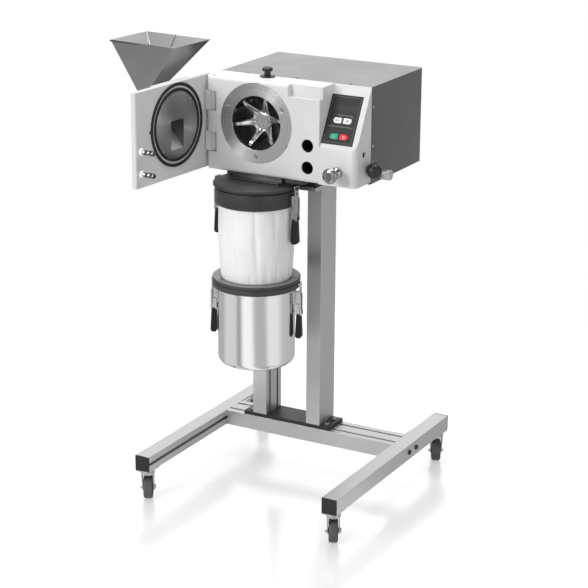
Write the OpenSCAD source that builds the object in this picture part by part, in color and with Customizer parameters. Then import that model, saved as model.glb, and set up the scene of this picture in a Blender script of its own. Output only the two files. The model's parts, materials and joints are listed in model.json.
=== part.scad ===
// Analytical lab mill: a cutting mill on a castor stand, with a swing door,
// a feed hopper, a filter sleeve and a collecting vessel.
// The origin is the middle of the stand on the floor. The front faces -Y.

/* [Stand] */
// Pitch of the aluminium profiles
pitch = 40; // [36:1:44]
// Outer width across the legs
stand_w = 571; // [540:1:640]
// Length of a leg with its caps
leg_len = 640; // [600:1:720]
// Height of the legs' undersides
leg_z = 87; // [86:1:100]
// Place of the crossbeam along the legs, behind the middle
beam_y = 103; // [96:1:110]
// Height of the columns
column_h = 650.5; // [640:1:680]
// Distance between the columns' middles
column_gap = 159; // [150:1:170]
// Thickness of the foot plate and the support plate
plate_t = 10; // [8:0.5:12]
// Half width of the foot plate and the support plate
plate_half = 127; // [122:1:130]

/* [Castors] */
// Radius of a wheel
wheel_r = 30; // [27:0.5:30]
// Width of a tyre
tyre_w = 23; // [18:0.5:26]
// Distance from the swivel axis to the axle
trail = 14; // [12:0.5:18]
// Turn of the castors about their swivels
castor_turn = 28.75; // [0:0.25:60]

/* [Housing] */
// Width of the housing
case_w = 416.4; // [410:0.2:430]
// Place of the housing's middle, right of the stand's middle
case_x = 1.5; // [0:0.5:3]
// Height of the casing
case_h = 238.9; // [236:0.1:250]
// Depth of the casing behind its seam
case_d = 287.3; // [260:0.1:320]
// Depth of the front shell
shell_d = 77; // [74:0.5:84]
// Wall of the casing and the front shell
case_wall = 4; // [3:0.5:5]
// Height of the chassis tray
chassis_h = 27.3; // [22:0.1:30]
// Place of the front shell's step, right of the stand's middle
step_x = 110; // [106:0.5:114]
// Height of the upright front below the slanted face
fold_h = 89.5; // [86:0.5:94]

/* [Mill] */
// Place of the mill's axis, right of the stand's middle
mill_x = -64.5; // [-68:0.5:-62]
// Height of the rotor's axis above the casing's bottom
axis_h = 135.2; // [132:0.1:140]
// Outer radius of the chamber ring
ring_r = 99; // [94:0.5:102]
// Inner radius of the chamber ring
ring_in = 67.5; // [66.5:0.5:70]
// Radius over the rotor's tips
rotor_r = 65; // [60:0.5:65]
// Number of rotor arms
rotor_arms = 6; // [4:1:8]
// Depth of the rotor along its axis
rotor_d = 54; // [46:0.5:55]
// Radius of the rotor's shaft
shaft_r = 12; // [10:0.5:14]

/* [Door] */
// Angle of the door from shut
open_angle = 94.7; // [60:0.1:104]
// Thickness of the door
door_t = 15; // [12:0.5:18]
// Width of the door from the hinge pin to its free edge
door_w = 287.5; // [280:0.5:290]
// Height of the door
door_h = 231.5; // [228:0.5:232]
// Radius of the hinge pin
pin_r = 5; // [4:0.25:6]
// Radius of the latch holes
latch_r = 16; // [14:0.5:17]
// Width of the feed opening
feed_w = 52; // [44:1:58]
// Height of the feed opening
feed_h = 74; // [64:1:80]

/* [Hopper] */
// Length of the hopper's mouth along the door
mouth_w = 146; // [120:1:160]
// Depth of the hopper's mouth away from the door
mouth_d = 199; // [160:1:220]
// Height of the hopper's rim above the door's top
rim_h = 75.5; // [60:0.5:90]
// Thickness of the hopper's sheet
sheet_t = 1.5; // [1:0.25:2.5]

/* [Collecting set] */
// Place of the set's axis, in front of the stand's middle
set_y = -92; // [-94:0.5:-90]
// Outer radius of the lid
lid_r = 100; // [98:0.5:102]
// Height of the lid
lid_h = 44; // [40:0.5:46]
// Outer radius of the sleeve at its top
sleeve_r = 93; // [90:0.5:96]
// Height of the sleeve between the lid and the lower ring
sleeve_h = 190; // [180:1:196]
// Outer radius of the lower ring
band_r = 110; // [109:0.25:110.5]
// Height of the lower ring
band_h = 23; // [20:0.5:26]
// Outer radius of the vessel
vessel_r = 96.5; // [94:0.5:98]
// Height of the vessel
vessel_h = 194; // [170:1:220]

/* [Controls] */
// Radius of the lever's ball
ball_r = 19.5; // [16:0.5:20]
// Length of the lever from its shaft to the ball's middle
lever_len = 85; // [78:1:92]
// Radius of the front knob
knob_r = 19.5; // [17:0.5:22]
// Width of a key
key_w = 22; // [18:0.5:23]
// Height of a key
key_h = 14; // [12:0.5:15]

/* [Hidden] */
$fn = 64;

overrun = 1;
fit_gap = 0.05;
body_gap = 0.3;

// Profile section
slot_mouth = 8;
slot_in = 15;
slot_lip = 4.5;
slot_deep = 9;
skin_t = 2.5;
hollow = 9;
cap_t = 4;
leg_mid_x = stand_w / 2 - pitch / 2;
leg_mid_z = leg_z + pitch / 2;
leg_top = leg_z + pitch;
column_z = leg_top + plate_t;
plate_z = column_z + column_h;
chassis_z = plate_z + plate_t;
case_z = chassis_z + chassis_h;
case_top = case_z + case_h;

// Housing
seam_y = -18;
case_back = seam_y + case_d;
front_y = seam_y - shell_d;
case_r = 10;
shell_lift = 5.7;
shell_z = case_z + shell_lift;
shell_r = 15;
edge_r = 8;
fold_z = shell_z + fold_h;
slope_a = atan((seam_y - front_y) / (case_top - fold_z));
axis_z = case_z + axis_h;
notch_w = 86;
notch_d = 16;
notch_h = 28.7;
side_hole_r = 8;
side_hole_y = front_y + 41.5;
side_hole_z = shell_z + 75.5;
vent_n = 9;
vent_w = 4;
vent_l = 60;
vent_step = 10;
vent_x = -110;

// Stand details
bracket_w = 36;
bracket_t = 6;
castor_in = 26;
castor_plate_w = 38;
castor_plate_l = 2 * castor_in;
castor_plate_t = 3;
cup_r = 16;
cup_h = 3.7;
kingpin_r = 5;
kingpin_head_r = 8;
kingpin_head_h = 2;
crown_r = 17;
crown_h = 7.5;
crown_z = leg_z - castor_plate_t - cup_h - body_gap - crown_h;
bridge_t = 3.5;
cheek_t = 2.5;
hub_w = 26;
hub_r = 10;
web_r = 24;
web_w = 14;
tyre_in = 22;
tyre_round = 4;
axle_r = 4;
axle_head_r = 6.5;
axle_head_h = 4;
cheek_r = 9;
cheek_front = 12;
cheek_back = 24;
plate_back = beam_y + pitch;
plate_front = -20;
lid_relief = 8;

// Screws
side_bolt_r = 6.5;
side_bolt_h = 3.5;
foot_screw_r = 7;
foot_screw_h = 4;
foot_screw_in = 15.5;
seam_screw_r = 3;
seam_screw_h = 0.8;
seam_screw_back = 10;
seam_top_shares = [-0.333, 0, 0.35];
seam_side_shares = [0.796, 0.394, 0.231];
ring_screw_r = 5;
ring_screw_at = 83;
ring_screw_deep = 8;
ring_sink = 0.8;
band_screw_r = 4.5;
band_screw_h = 2.5;
band_screw_n = 5;
band_screw_turn = -126.8;

// Mill details
ring_t = 10;
ring_notch_r = 3;
chamber_in = 74;
chamber_r = 78;
chamber_d = 60;
back_t = 10;
bearing_r = 26;
duct_w = 88;
duct_d = 54;
duct_wall = 4;
duct_y = -55;
sieve_r = 68;
sieve_t = 2;
sieve_arc = 210;
sieve_rib_n = 26;
sieve_slot = 3.2;
bar_w = 8;
bar_r = 66.5;
bar_turns = [20, 65, 115, 160];
rotor_turn = 13.5;
rotor_back = 7;
hub_front = 22;
hub_back = 1.5;
rotor_hub_r = 23;
rotor_disc_r = 18;
rotor_sink = 0.5;
arm_in = 3;
arm_swell = 7;
arm_root = 16;
arm_tip = 8;
slot_hole_r = 2.5;
slot_hole_at = 10;
chamber_back = front_y + ring_t + chamber_d;
motor_y = chamber_back + back_t;
motor_r = 72;
motor_l = 170;
motor_cap_r = 60;
motor_cap_l = 20;
motor_foot_w = 110;
motor_foot_l = 110;
motor_foot_y = 30;
shaft_in_motor = 60;
inlet_w = 48;
inlet_h = 28;
inlet_in = 89.7;
inlet_x = case_x + case_w / 2 - inlet_in;
inlet_z = 45;
inlet_d = 20;
inlet_rim = 4;
inlet_rim_t = 2;

// Adapter and lid
adapter_h = 19.5;
adapter_z = shell_z - adapter_h;
collar_h = 2.5;
collar_wall = 6;
lid_z = adapter_z - collar_h - lid_h;
lid_top = lid_z + lid_h;
lid_wall = 12;
lid_top_t = 6;
groove_h = 2;
groove_d = 2;
lid_groove_up = 37;
adapter_half = 70;
adapter_front = 5;
adapter_arm = 106;
adapter_side = 124.5;
adapter_side_front = 17;
arm_h = 7;
catch_h = 2.4;
catch_half = 7;
catch_r = 115.5;
opening_w = duct_w - 2 * duct_wall;
opening_d = duct_d - 2 * duct_wall;

// Sleeve, ring and vessel
sleeve_wall = 1.6;
sleeve_hem = 6;
fold_deep = 2.2;
fold_n = 15;
sleeve_sides = 60;
sleeve_rings = 8;
band_z = lid_z - sleeve_h - band_h;
band_top = band_z + band_h;
band_in = 84;
band_groove_up = 13.5;
band_catch_up = 8.5;
vessel_wall = 1.5;
vessel_round = 14;
vessel_lip = 7.5;
vessel_lip_h = 5;
vessel_z = band_z - vessel_h;

// Toggle clamps
pivot_r = 109.5;
loop_out = 3;
loop_down = 10;
loop_r = pivot_r + loop_out;
wire_r = 1.5;
leg_at = 10;
clamp_pin_r = 2;
base_half = 5;
base_up = 40;
base_down = 4;
base_out = 4;
base_flange = 10.5;
base_flange_t = 3;
cheek_in = 6;
cheek_out = 8;
lever_eye_r = 4;
handle_half = 11;
handle_start = 18;
handle_l = 63;
handle_in = 3;
handle_out = 4;
upper_drop = 56.5;
lower_drop = 51.5;
lower_turn = 16;
upper_pivot_z = lid_top - upper_drop;
lower_pivot_z = band_z - lower_drop;
upper_wire_z = adapter_z + catch_h + body_gap + wire_r;
lower_wire_z = band_z + band_catch_up + body_gap + wire_r;

// Door
pin_x = case_x - case_w / 2 + 14.7;
pin_y = front_y + 17;
seal_h = 3;
door_gap = 3.5;
door_d = pin_y - front_y + door_gap;
door_z = shell_z + 1.5;
door_in = 12.2;
door_r = 4;
barrel_r = 10;
knuckle_r = 22;
knuckle_slack = 1.5;
recess_r = knuckle_r + 1;
column_r = recess_r + 3;
knuckle_h = 47;
knuckle_low = 45;
knuckle_high = 147;
knuckle_zs = [door_z + knuckle_low, door_z + knuckle_high];
knuckle_left = 10;
knuckle_right = 14;
axis_s = mill_x - pin_x;
boss_half = 72;
boss_t = 9;
boss_z = 60;
outer_seal_in = 95;
outer_seal_out = 103;
inner_seal_in = 82.5;
inner_seal_out = 90;
seals = [[outer_seal_in, outer_seal_out], [inner_seal_in, inner_seal_out]];
seal_sunk = 2;
door_plate_r = 82;
door_plate_out = 2;
door_screw_r = 5;
door_screw_h = 1.75;
door_screw_at = 53;
feed_z = axis_z - 61;
pin_cap_r = 6.5;
pin_cap_h = 1;
latch_s = 269.7;
latch_x = pin_x + latch_s;
latch_zs = [axis_z - 39.2, axis_z - 93.4];
cone_r = 9;
cone_top_r = 7;
cone_h = 6;
bolt_r = 5;
bolt_l = 40;
bolt_head_r = 7.5;
bolt_head_h = 5;
socket_wall = 3;
socket_l = 44;

// Hopper
mouth_s = 20;
mouth_off = 128;
rim_z = door_z + door_h + rim_h;
funnel_h = 94;
neck_z = rim_z - funnel_h;
neck_w = feed_w + 6;
neck_d = 48;
neck_off = 82;
rim_edge = 3;
rim_edge_h = 5;
chute_drop = 52;

// Controls
panel_w = 84;
panel_l = 124;
panel_x = step_x + 1.2;
panel_v = 13;
panel_t = 3;
panel_proud = 0.8;
panel_ledge = 5;
key_xs = [30, 56.5];
key_vs = [20, 60];
key_t = 3.2;
key_proud = 1.6;
front_knob_x = 159;
front_knob_z = shell_z + 34;
front_knob_l = 45;
front_knob_rim = 6;
front_knob_neck = 14;
spindle_r = 6;
spindle_l = 16;
pull_x = mill_x - 3.5;
pull_y = seam_y - 14;
pull_stem_r = 8;
pull_cap_r = 13;
pull_h = 24.3;
pull_cap_h = 10;
pull_flange_r = 18.5;
pull_flange_h = 2.5;
pull_in = 18;
lever_y = seam_y + 59;
lever_z = case_z + 14.2;
lever_tilt = 19.2;
lever_hub_r = 13;
lever_hub_l = 27;
lever_shaft_r = 6;
lever_rod_r = 5;
lever_ball_x = 20.8;
lever_shaft_l = 150;
bearer_w = 24;
bearer_t = 10;
bearer_up = 10;
rod_in_ball = 12;

module round_rect(w, d, r) {
    square([w - 2 * r, d], center = true);
    square([w, d - 2 * r], center = true);
    for (x = [r - w / 2, w / 2 - r], y = [r - d / 2, d / 2 - r]) translate([x, y]) circle(r);
}

module along_x(length) rotate([90, 0, 90]) linear_extrude(length) children();

module rod_x(r, length) rotate([0, 90, 0]) cylinder(r = r, h = length);

module rod_y(r, length) rotate([-90, 0, 0]) cylinder(r = r, h = length);

module tube_y(r_out, r_in, length) difference() {
    rod_y(r_out, length);
    translate([0, -overrun, 0]) rod_y(r_in, length + 2 * overrun);
}

// Stand

module slot_2d() {
    translate([pitch / 2 - slot_deep, -slot_in / 2]) square([slot_deep - slot_lip, slot_in]);
    translate([pitch / 2 - slot_deep, -slot_mouth / 2]) square([slot_deep + overrun, slot_mouth]);
}

module profile_2d(cells, faces) {
    hollow_at = pitch / 2 - skin_t - hollow / 2;
    difference() {
        square([cells * pitch, pitch], center = true);
        for (i = [0 : cells - 1]) translate([(i + (1 - cells) / 2) * pitch, 0]) {
            for (x = [-hollow_at, hollow_at], y = [-hollow_at, hollow_at])
                translate([x, y]) square(hollow, center = true);
            for (turn = faces) rotate(turn) slot_2d();
        }
    }
}

module leg(side, face) color("silver")
    translate([side * leg_mid_x, cap_t - leg_len / 2, leg_mid_z]) rotate([-90, 0, 0])
        linear_extrude(leg_len - 2 * cap_t) profile_2d(1, [face]);

module left_leg() leg(-1, 0);

module right_leg() leg(1, 180);

module crossbeam() color("silver") translate([pitch - stand_w / 2, beam_y, leg_mid_z])
    along_x(stand_w - 2 * pitch) profile_2d(2, [90]);

module end_caps() color("#222222") for (x = [-leg_mid_x, leg_mid_x], side = [-1, 1])
    translate([x, side * (leg_len / 2 - cap_t / 2), leg_mid_z]) cube([pitch, cap_t, pitch], center = true);

module column(side, face) color("silver")
    translate([mill_x + side * column_gap / 2, beam_y, column_z]) rotate([0, 0, 90])
        linear_extrude(column_h) profile_2d(2, [face]);

module left_column() column(-1, 270);

module right_column() column(1, 90);

module foot_plate() color("#1e1e1e") translate([mill_x - plate_half, beam_y - pitch, leg_top])
    cube([2 * plate_half, 2 * pitch, plate_t]);

module support_plate() color("#8a8a8a") difference() {
    translate([mill_x - plate_half, plate_front, plate_z])
        cube([2 * plate_half, plate_back - plate_front, plate_t]);
    translate([mill_x, set_y, plate_z - overrun]) cylinder(r = lid_r + lid_relief, h = plate_t + 2 * overrun);
}

module chassis() color("#1e1e1e") difference() {
    translate([mill_x - plate_half, plate_front, chassis_z])
        cube([2 * plate_half, case_back - case_r - plate_front, chassis_h]);
    translate([mill_x, set_y, chassis_z - overrun]) cylinder(r = lid_r + lid_relief, h = chassis_h + 2 * overrun);
}

module at_castors() for (x = [-1, 1], y = [-1, 1])
    translate([x * leg_mid_x, y * (leg_len / 2 - castor_in), 0]) children();

module stand_brackets() color("#b9bbbd") {
    for (side = [-1, 1]) translate([side * (stand_w / 2 - pitch), beam_y + pitch, leg_mid_z])
        mirror([side > 0 ? 1 : 0, 0, 0]) difference() {
            translate([0, 0, -bracket_w / 2]) cube([bracket_w, bracket_w, bracket_w]);
            translate([bracket_t, bracket_t, -bracket_w]) cube([bracket_w, bracket_w, 2 * bracket_w]);
        }
    at_castors() {
        translate([0, 0, leg_z - castor_plate_t / 2])
            cube([castor_plate_w, castor_plate_l, castor_plate_t], center = true);
        translate([0, 0, leg_z - castor_plate_t - cup_h]) cylinder(r = cup_r, h = cup_h);
        translate([0, 0, crown_z - body_gap]) cylinder(r = kingpin_r, h = leg_z - castor_plate_t - crown_z);
        translate([0, 0, crown_z - body_gap - kingpin_head_h]) cylinder(r = kingpin_head_r, h = kingpin_head_h);
    }
}

module at_castor(x, y) translate([x * leg_mid_x, y * (leg_len / 2 - castor_in), 0])
    rotate([0, 0, castor_turn]) children();

module fork() color("#c4c6c8") {
    inner = hub_w / 2 + body_gap;
    difference() {
        union() {
            translate([0, 0, crown_z]) cylinder(r = crown_r, h = crown_h);
            translate([-inner - cheek_t, -cheek_front, crown_z])
                cube([2 * (inner + cheek_t), cheek_front + cheek_back, bridge_t]);
        }
        translate([0, 0, crown_z - overrun]) cylinder(r = kingpin_r + fit_gap, h = crown_h + 2 * overrun);
    }
    for (x = [-inner - cheek_t, inner]) translate([x, 0, 0]) along_x(cheek_t) {
        translate([trail, wheel_r]) circle(cheek_r);
        polygon([[-cheek_front, crown_z], [cheek_back, crown_z], [trail + cheek_r, wheel_r],
            [trail - cheek_r, wheel_r]]);
    }
    translate([-inner - cheek_t, trail, wheel_r]) rod_x(axle_r, 2 * (inner + cheek_t));
    for (x = [-inner - cheek_t - axle_head_h, inner + cheek_t])
        translate([x, trail, wheel_r]) rotate([0, 90, 0]) cylinder(r = axle_head_r, h = axle_head_h, $fn = 6);
}

module wheel() color("#6e7072") translate([0, trail, wheel_r]) rotate([0, 90, 0]) rotate_extrude() {
    difference() {
        translate([0, -hub_w / 2]) square([hub_r, hub_w]);
        translate([-overrun, -hub_w / 2 - overrun]) square([axle_r + fit_gap + overrun, hub_w + 2 * overrun]);
    }
    translate([hub_r - overrun, -web_w / 2]) square([web_r - hub_r + overrun, web_w]);
    translate([(tyre_in + wheel_r) / 2, 0]) round_rect(wheel_r - tyre_in, tyre_w, tyre_round - body_gap);
}

module front_left_fork() at_castor(-1, -1) fork();

module front_right_fork() at_castor(1, -1) fork();

module rear_left_fork() at_castor(-1, 1) fork();

module rear_right_fork() at_castor(1, 1) fork();

module front_left_wheel() at_castor(-1, -1) wheel();

module front_right_wheel() at_castor(1, -1) wheel();

module rear_left_wheel() at_castor(-1, 1) wheel();

module rear_right_wheel() at_castor(1, 1) wheel();

module fasteners() color("#3a3a3a") {
    for (y = [beam_y - pitch / 2, beam_y + pitch / 2]) {
        for (side = [-1, 1]) translate([mill_x + side * (plate_half - foot_screw_in), y, column_z])
            cylinder(r = foot_screw_r, h = foot_screw_h);
        translate([stand_w / 2, y, leg_mid_z]) rod_x(side_bolt_r, side_bolt_h);
        translate([-stand_w / 2 - side_bolt_h, y, leg_mid_z]) rod_x(side_bolt_r, side_bolt_h);
    }
    for (share = seam_top_shares)
        translate([case_x + share * case_w, seam_y + seam_screw_back, case_top])
            cylinder(r = seam_screw_r, h = seam_screw_h);
    for (share = seam_side_shares) {
        translate([case_x + case_w / 2, seam_y + seam_screw_back, case_z + share * case_h])
            rod_x(seam_screw_r, seam_screw_h);
        translate([case_x - case_w / 2 - seam_screw_h, seam_y + seam_screw_back, case_z + share * case_h])
            rod_x(seam_screw_r, seam_screw_h);
    }
    for (turn = [30, 150, 270]) at_ring_screw(turn)
        translate([0, ring_sink, 0]) rod_y(ring_screw_r, ring_screw_deep - ring_sink);
    for (i = [0 : band_screw_n - 1]) translate([mill_x, set_y, band_top])
        rotate([0, 0, band_screw_turn + i * 360 / band_screw_n]) translate([(band_in + band_r) / 2, 0, 0])
            cylinder(r = band_screw_r, h = band_screw_h);
}

module at_ring_screw(turn) translate([mill_x + ring_screw_at * cos(turn), front_y,
    axis_z + ring_screw_at * sin(turn)]) children();

// Housing

module case_2d(inset) {
    w = case_w - 2 * inset;
    translate([case_x, (seam_y + case_back) / 2]) round_rect(w, case_d - 2 * inset, case_r - inset);
    translate([case_x - w / 2, seam_y + inset]) square([w, case_d / 2]);
}

module casing() color("#4c4c4c") difference() {
    union() {
        difference() {
            translate([0, 0, case_z]) linear_extrude(case_h) case_2d(0);
            translate([0, 0, case_z + case_wall]) linear_extrude(case_h - 2 * case_wall) case_2d(case_wall);
            translate([case_x - case_w / 2 + case_wall, seam_y - overrun, case_z + case_wall])
                cube([case_w - 2 * case_wall, case_wall + 2 * overrun, case_h - 2 * case_wall]);
        }
        translate([case_x + case_w / 2 - lever_shaft_l, lever_y - bearer_w / 2, case_z])
            cube([bearer_t, bearer_w, lever_z - case_z + bearer_up]);
    }
    translate([case_x + case_w / 2 - lever_shaft_l - overrun, lever_y, lever_z])
        rod_x(lever_shaft_r + fit_gap, lever_shaft_l + 2 * overrun);
    translate([inlet_x - inlet_w / 2, case_back - case_wall - overrun, case_z + inlet_z])
        cube([inlet_w, case_wall + 2 * overrun, inlet_h]);
    for (i = [0 : vent_n - 1])
        translate([vent_x + i * vent_step, case_back - case_wall - overrun, case_top - vent_l - vent_l / 2])
            cube([vent_w, case_wall + 2 * overrun, vent_l]);
}

module left_profile(inset, back) {
    d = shell_d - 2 * inset;
    h = case_top - shell_z - 2 * inset;
    translate([front_y + inset + d / 2, (case_top + shell_z) / 2]) round_rect(d, h, edge_r - inset);
    translate([front_y + inset + d / 2, shell_z + inset]) square([d / 2 + inset + back, h]);
}

module right_profile(inset, back) {
    rise = 1 / tan(slope_a);
    drop = inset / sin(slope_a);
    y0 = front_y + inset;
    y1 = seam_y + back;
    polygon([[y0, shell_z + inset], [y1, shell_z + inset],
        [y1, case_top - drop - (back > 0 ? case_wall : 0)],
        [seam_y - (back > 0 ? case_wall : 0) / rise, case_top - drop - (back > 0 ? case_wall : 0)],
        [y0, fold_z + inset * rise - drop]]);
}

module shell_form(inset, back) {
    left = case_x - case_w / 2 + inset;
    right = case_x + case_w / 2 - inset;
    depth = shell_d + shell_r;
    difference() {
        intersection() {
            union() {
                translate([left, 0, 0]) along_x(step_x - inset - left) left_profile(inset, back);
                translate([step_x - 2 * inset - overrun, 0, 0]) along_x(right - step_x + 2 * inset + overrun)
                    right_profile(inset, back);
            }
            translate([case_x, front_y + inset + depth / 2, shell_z - overrun])
                linear_extrude(case_h + 2 * overrun) round_rect(right - left, depth, shell_r - inset);
        }
        translate([step_x - notch_w - inset, front_y - overrun, case_top - notch_h - inset])
            cube([notch_w + inset + overrun, notch_d + inset + overrun, notch_h + inset + overrun]);
    }
}

module on_slope() translate([0, front_y, fold_z]) rotate([90 - slope_a, 0, 0]) children();

module front_shell() color("#e2e2e2") difference() {
    union() {
        difference() {
            shell_form(0, 0);
            shell_form(case_wall, overrun);
        }
        intersection() {
            shell_form(0, 0);
            translate([pin_x, pin_y, shell_z]) cylinder(r = column_r, h = case_h);
        }
        intersection() {
            translate([pull_x, pull_y, case_top - overrun])
                cylinder(r = pull_flange_r, h = pull_flange_h + overrun);
            translate([pull_x, seam_y - shell_d / 2, case_top])
                cube([3 * pull_flange_r, shell_d, 3 * pull_flange_h], center = true);
        }
    }
    for (z = knuckle_zs) translate([pin_x, pin_y, z - knuckle_slack])
        cylinder(r = recess_r, h = knuckle_h + 2 * knuckle_slack);
    translate([pin_x, pin_y, shell_z + case_wall]) cylinder(r = pin_r + fit_gap, h = case_h);
    translate([mill_x, front_y - overrun, axis_z]) rod_y(ring_r + body_gap, case_wall + 2 * overrun);
    for (z = latch_zs) translate([latch_x, front_y - overrun, z]) rod_y(latch_r, case_wall + 2 * overrun);
    translate([front_knob_x, front_y - overrun, front_knob_z]) rod_y(spindle_r + fit_gap, case_wall + 2 * overrun);
    translate([case_x + case_w / 2 - case_wall - overrun, side_hole_y, side_hole_z])
        rod_x(side_hole_r, case_wall + 2 * overrun);
    translate([mill_x - duct_w / 2 - body_gap, duct_y - duct_d / 2 - body_gap, shell_z - overrun])
        cube([duct_w + 2 * body_gap, duct_d + 2 * body_gap, case_wall + 2 * overrun]);
    translate([pull_x, pull_y, case_top - case_wall - overrun])
        cylinder(r = pull_stem_r + fit_gap, h = case_wall + pull_flange_h + 2 * overrun);
    on_slope() {
        translate([panel_x - body_gap, panel_v - body_gap, panel_proud - panel_t])
            cube([panel_w + 2 * body_gap, panel_l + 2 * body_gap, panel_t + overrun]);
        translate([panel_x + panel_ledge, panel_v + panel_ledge, -2 * case_wall])
            cube([panel_w - 2 * panel_ledge, panel_l - 2 * panel_ledge, 3 * case_wall]);
    }
}

module power_inlet() color("#202020") translate([inlet_x - inlet_w / 2 + body_gap, 0, case_z + inlet_z + body_gap])
    difference() {
        union() {
            translate([0, case_back - inlet_d, 0])
                cube([inlet_w - 2 * body_gap, inlet_d, inlet_h - 2 * body_gap]);
            translate([-inlet_rim, case_back, -inlet_rim])
                cube([inlet_w - 2 * body_gap + 2 * inlet_rim, inlet_rim_t, inlet_h - 2 * body_gap + 2 * inlet_rim]);
        }
        translate([inlet_rim, case_back - inlet_d + inlet_rim, inlet_rim])
            cube([inlet_w - 2 * body_gap - 2 * inlet_rim, inlet_d, inlet_h - 2 * body_gap - 2 * inlet_rim]);
    }

module control_panel() color("#161616") on_slope() difference() {
    translate([panel_x, panel_v, panel_proud - panel_t]) cube([panel_w, panel_l, panel_t]);
    for (x = key_xs, v = key_vs)
        translate([panel_x + x - key_w / 2 - body_gap, panel_v + v - key_h / 2 - body_gap, -panel_t - overrun])
            cube([key_w + 2 * body_gap, key_h + 2 * body_gap, 2 * panel_t + 2 * overrun]);
}

module key(i, j) on_slope()
    translate([panel_x + key_xs[i] - key_w / 2, panel_v + key_vs[j] - key_h / 2, key_proud - key_t])
        cube([key_w, key_h, key_t]);

module minus_key() color("#9fb4c4") key(0, 1);

module plus_key() color("#9fb4c4") key(1, 1);

module start_key() color("#3f9a4a") key(0, 0);

module stop_key() color("#b8322c") key(1, 0);

module front_knob() color("#d4d6d8") translate([front_knob_x, front_y, front_knob_z]) {
    translate([0, -front_knob_l, 0]) rod_y(knob_r, front_knob_rim);
    translate([0, -front_knob_l + front_knob_rim, 0])
        rod_y(front_knob_neck, front_knob_l - front_knob_rim - body_gap);
    translate([0, -body_gap - overrun, 0]) rod_y(spindle_r, spindle_l);
}

module pull_knob() color("#1a1a1a") translate([pull_x, pull_y, case_top]) {
    translate([0, 0, -pull_in]) cylinder(r = pull_stem_r, h = pull_in + pull_h - pull_cap_h);
    translate([0, 0, pull_h - pull_cap_h]) cylinder(r = pull_cap_r, h = pull_cap_h);
}

module lever_arm() color("#cfd1d3") translate([case_x + case_w / 2, lever_y, lever_z]) {
    translate([body_gap - lever_shaft_l, 0, 0]) rod_x(lever_shaft_r, lever_shaft_l);
    translate([body_gap, 0, 0]) rod_x(lever_hub_r, lever_hub_l);
    translate([lever_ball_x, 0, 0]) rotate([-lever_tilt, 0, 0]) translate([0, rod_in_ball - lever_len, 0])
        rod_y(lever_rod_r, lever_len - rod_in_ball);
}

module lever_ball() color("#141414") translate([case_x + case_w / 2 + lever_ball_x, lever_y, lever_z])
    rotate([-lever_tilt, 0, 0]) difference() {
        translate([0, -lever_len, 0]) sphere(ball_r);
        translate([0, rod_in_ball - lever_len, 0]) rod_y(lever_rod_r, lever_len);
    }

module latch_sockets() color("#101010") for (z = latch_zs)
    translate([latch_x, front_y + case_wall, z]) tube_y(latch_r + socket_wall, latch_r, socket_l);

module hinge_pin() color("#9a9c9e") translate([pin_x, pin_y, 0]) {
    translate([0, 0, shell_z + case_wall]) cylinder(r = pin_r, h = case_top - shell_z - case_wall);
    translate([0, 0, case_top]) cylinder(r = pin_cap_r, h = pin_cap_h);
}

// Mill

module at_axis(y) translate([mill_x, y, axis_z]) children();

module chamber_ring() color("#c9cbcd") difference() {
    at_axis(front_y) tube_y(ring_r, ring_in, ring_t);
    for (turn = [30, 150, 270]) at_ring_screw(turn)
        translate([0, -overrun, 0]) rod_y(ring_screw_r, ring_screw_deep + overrun);
    for (turn = [90, 210, 330])
        translate([mill_x + ring_r * cos(turn), front_y - overrun, axis_z + ring_r * sin(turn)])
            rod_y(ring_notch_r, ring_t + 2 * overrun);
}

module chamber() color("#8d8f91") difference() {
    union() {
        at_axis(front_y + ring_t) rod_y(chamber_r, chamber_d + back_t);
        translate([mill_x - duct_w / 2, duct_y - duct_d / 2, shell_z]) cube([duct_w, duct_d, axis_z - shell_z]);
    }
    at_axis(front_y + ring_t - overrun) rod_y(chamber_in, chamber_d + overrun);
    at_axis(chamber_back - overrun) rod_y(bearing_r + fit_gap, back_t + 2 * overrun);
    translate([mill_x - opening_w / 2, duct_y - opening_d / 2, shell_z - overrun])
        cube([opening_w, opening_d, axis_z - shell_z]);
}

module sieve() color("#6b6d6f") at_axis(front_y + ring_t + body_gap) difference() {
    rotate([-90, 0, 0]) rotate([0, 0, 90 - sieve_arc / 2]) rotate_extrude(angle = sieve_arc)
        translate([sieve_r, 0]) square([sieve_t, chamber_d - 2 * body_gap]);
    for (i = [0 : sieve_rib_n - 1])
        rotate([0, 180 - (i + 1) * sieve_arc / (sieve_rib_n + 1) + (sieve_arc - 180) / 2, 0])
        translate([sieve_r - overrun, sieve_slot, -sieve_slot / 2])
            cube([sieve_t + 2 * overrun, chamber_d - 2 * body_gap - 2 * sieve_slot, sieve_slot]);
}

module stator_bars() color("#b8babc") at_axis(front_y + ring_t + body_gap) intersection() {
    rod_y(chamber_in - fit_gap, chamber_d - 2 * body_gap);
    for (turn = bar_turns) rotate([0, -turn, 0]) translate([bar_r, 0, -bar_w / 2])
        cube([chamber_in - bar_r, chamber_d - 2 * body_gap, bar_w]);
}

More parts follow.
